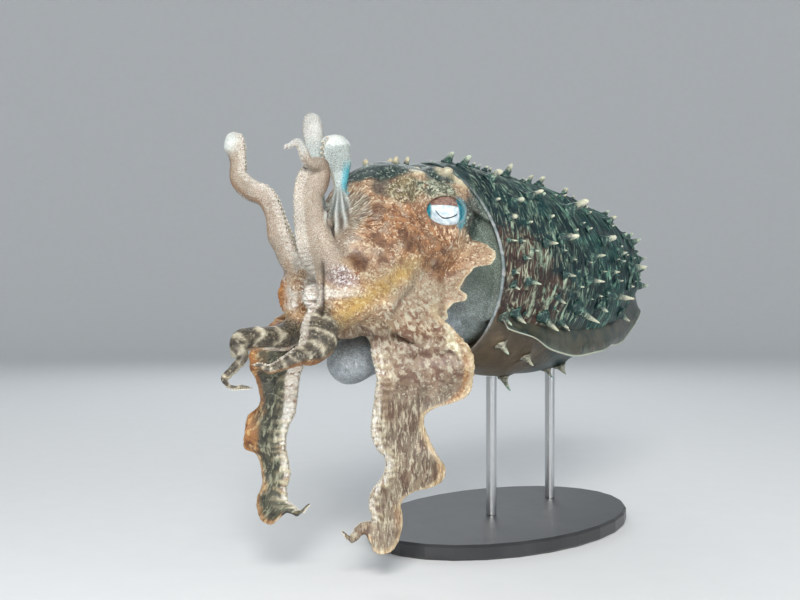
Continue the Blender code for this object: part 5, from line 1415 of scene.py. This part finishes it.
fused.materials.clear()
fused.materials.append(skin.material)
fused.shade_smooth()
fused.name = "head_and_arm_skin"
skin_piece = bpy.data.objects.new("head_and_arm_skin", fused)
scene.collection.objects.link(skin_piece)
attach(skin_piece, "root")
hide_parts(*[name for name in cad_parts
                          if name.startswith("arm_") or name in ("head", "neck", "funnel")])
print("head_and_arm_skin triangles", sum(len(p.vertices) - 2 for p in fused.polygons))


# Eyes
# A hard glossy ball behind each lid opening: maroon above, silver below with the thin
# bowed slit of the pupil, and blue-green towards the corners.
def eye_looks(side):
    """The eye's finish, painted by the way from the eye's middle."""
    finish = Finish("eye_" + ("left" if side < 0 else "right") + "_gloss", 0.14,
                    Coat_Weight=0.8, Coat_Roughness=0.04)
    centre = (np.array((EYE_CENTRE[0], EYE_CENTRE[1] * side, EYE_CENTRE[2])) + BODY_PLACE) * MM
    look = Vector((EYE_LOOK[0], EYE_LOOK[1] * side, EYE_LOOK[2])).normalized()
    tailways = (Vector((0, 0, 1)).cross(look) * side * -1).normalized()
    upwards = look.cross(tailways) if look.cross(tailways).z > 0 else tailways.cross(look)
    here = finish.node("ShaderNodeTexCoord", output="Object")
    offset = finish.node("ShaderNodeVectorMath", {"operation": "SUBTRACT"},
                         {0: here, 1: tuple(centre)})

    def measured(way):
        return finish.node("ShaderNodeVectorMath", {"operation": "DOT_PRODUCT"},
                           {0: offset, 1: tuple(way / (EYE_RADIUS * MM))}, "Value")

    across, up = measured(tailways), measured(upwards)
    veil = finish.noise(320, 4)
    fleck = finish.noise(900, 3)
    bow = across + 0.16
    line = bow * bow * 1.37 - bow * bow.maths("ABSOLUTE") * 0.82 - 0.36
    gap = (up - line).maths("ABSOLUTE")
    pupil = (1 - gap.step(0.018, 0.042)) * (1 - (bow - 0.11).maths("ABSOLUTE").step(0.49, 0.53))
    silver = finish.mix(veil.step(0.35, 0.65), (0.42, 0.53, 0.60), (0.72, 0.80, 0.84))
    maroon = finish.mix((veil * 0.6 + fleck * 0.5).step(0.42, 0.66), (0.13, 0.060, 0.050),
                        (0.30, 0.19, 0.15))
    teal = finish.mix(veil.step(0.4, 0.6), (0.010, 0.13, 0.19), (0.03, 0.32, 0.40))
    colour = finish.mix((up + across * 0.06 + veil * 0.08).step(0.20, 0.26), silver, maroon)
    colour = finish.mix((across + veil * 0.10 + up * 0.12).step(0.56, 0.66), colour, teal)
    colour = finish.mix((veil * 0.10 - across).step(0.70, 0.80), colour, teal)
    colour = finish.mix(pupil, colour, (0.004, 0.004, 0.005))
    finish.give(Base_Color=colour)
    return finish


for side, word in ((-1, "left"), (1, "right")):
    body = bmesh.new()
    centre = Vector((EYE_CENTRE[0], EYE_CENTRE[1] * side, EYE_CENTRE[2])) + Vector(BODY_PLACE)
    look = Vector((EYE_LOOK[0], EYE_LOOK[1] * side, EYE_LOOK[2])).normalized()
    turn = look.to_track_quat("Z", "Y").to_matrix().to_4x4()
    bmesh.ops.create_uvsphere(body, u_segments=64, v_segments=40, radius=EYE_RADIUS * MM)
    bmesh.ops.transform(body, matrix=Matrix.Translation(centre * MM) @ turn, verts=body.verts)
    finished(body, "eyeball_" + word, eye_looks(side), "eye", "eye_" + word)


# Suckers
# Small cups on the inner face of each arm, cream with darker floors, in four crowded rows
# that grow smaller to the tip. Each is a ring with a sunk middle on a short stalk.
sucker_finish = Finish("sucker_flesh", 0.5)
cup = sucker_finish.painted("cup")
sucker_tone = sucker_finish.noise(380, 3)
sucker_finish.give(Base_Color=sucker_finish.mix(
    cup, sucker_finish.mix(sucker_tone, (0.55, 0.50, 0.40), (0.84, 0.81, 0.70)),
    (0.24, 0.16, 0.11)))
sucker_finish.bump(sucker_tone, 0.0003, 0.4)

SUCKER_PROFILE = ((0.0, -0.8, 0), (0.45, -0.8, 0), (0.55, 0.05, 0), (1.0, 0.42, 0),
                  (0.92, 0.70, 0), (0.60, 0.66, 0.5), (0.42, 0.42, 0.9), (0.0, 0.36, 1))
SUCKER_SIDES = 8
shapes = []
draw = random.Random(3)
turns = np.linspace(0, 2 * math.pi, SUCKER_SIDES + 1)
for arm in ARMS.values():
    last = len(arm["route"]) - 1
    stations = np.linspace(2.6, last - 0.5, 400)
    spots = curve(arm["route"], stations)[:, :3]
    run = np.concatenate(([0], np.cumsum(np.linalg.norm(np.diff(spots, axis=0), axis=1))))
    travelled = 0.0
    while travelled < run[-1]:
        at = float(np.interp(travelled, run, stations))
        centre, aboral, side, tangent, depth, width = arm_frame(arm, at)
        radius = max(0.55, width * 0.15)
        for row in (-1.5, -0.5, 0.5, 1.5):
            lean = unit(-aboral + side * row * 0.22)
            foot = (centre - aboral * depth * (0.86 if abs(row) < 1 else 0.93)
                    + side * row * width * 0.30 + tangent * radius * (0.6 if abs(row) < 1 else 0))
            across = unit(np.cross(lean, tangent))
            other = np.cross(lean, across)
            size = radius * draw.uniform(0.85, 1.12)
            round_it = np.outer(np.cos(turns), across) + np.outer(np.sin(turns), other)
            shapes.append([foot + lean * high * size + round_it * size * wide
                           for wide, high, _ in SUCKER_PROFILE])
        travelled += radius * 2.6
print("suckers", len(shapes))
body = bmesh.new()
add_grid(body, np.array(shapes), cup=np.array([share for *_, share in SUCKER_PROFILE])[None, :, None])
finished(body, "suckers", sucker_finish, "arm")


# Mouth
# The pale rippled ring of lips in the middle of the arms, and the dark beak's tip in it.
lip_finish = Finish("lip_flesh", 0.42, Coat_Weight=0.2, Coat_Roughness=0.2,
                    Subsurface_Weight=0.12, Subsurface_Scale=0.003)
lip_tone = lip_finish.noise(240, 4, lip_finish.place((1, 0.5, 2.2)), 0.8)
lip_finish.give(Base_Color=lip_finish.mix(lip_tone.step(0.36, 0.64), (0.44, 0.35, 0.28),
                                          (0.86, 0.84, 0.79)))
lip_finish.bump(lip_tone, 0.0008, 0.6)
turn = np.array(Vector(MOUTH_WAY).to_track_quat("Z", "Y").to_matrix())
turns = np.linspace(0, 2 * math.pi, 109)
rows = []
for climb in np.linspace(-math.pi / 2, math.pi / 2, 36):
    out = math.cos(climb)
    frill = 1 + 0.04 * np.sin(9 * turns) * out + 0.02 * np.sin(27 * turns + 1) * out
    dish = 0.5 * math.exp(-((out / 0.13) ** 2)) if climb > 0 else 0
    crease = 0.07 * np.sin(14 * turns) * math.exp(-(((out - 0.42) / 0.2) ** 2))
    rows.append(np.stack((np.cos(turns) * out * frill * 12.6, np.sin(turns) * out * frill * 12.6,
                          (math.sin(climb) - dish + crease) * 7.7 * np.ones_like(turns)), axis=-1)
                @ turn.T + MOUTH_CENTRE)
rows = np.array(rows)
rows += MOUTH_WAY * (np.sin(rows[..., 2] * 2.1 + rough(rows, 7, 31) * 2) * 0.35)[..., None]
body = bmesh.new()
add_grid(body, rows)
finished(body, "lips", lip_finish, "mouth", "mouth_lips")

beak_finish = Finish("beak_horn", 0.18, Coat_Weight=0.6, Coat_Roughness=0.1)
beak_tone = beak_finish.noise(500, 4)
beak_finish.give(Base_Color=beak_finish.mix(beak_tone, (0.020, 0.010, 0.006), (0.075, 0.040, 0.022)))
beak_finish.bump(beak_tone, 0.0002, 0.4)
rows = []
for high in np.linspace(0, 1, 14):
    wide = 1.3 * (1 - high) ** 0.7
    hook = 0.4 * high**2
    rows.append(np.stack((np.cos(turns) * wide * 0.8, np.sin(turns) * wide + hook,
                          np.full_like(turns, 1.4 + 3.0 * high)), axis=-1)
                @ turn.T + MOUTH_CENTRE)
rows.insert(0, np.broadcast_to(rows[0].mean(axis=0), rows[0].shape))
body = bmesh.new()
add_grid(body, np.array(rows))
finished(body, "beak_tip", beak_finish, "beak", "beak")
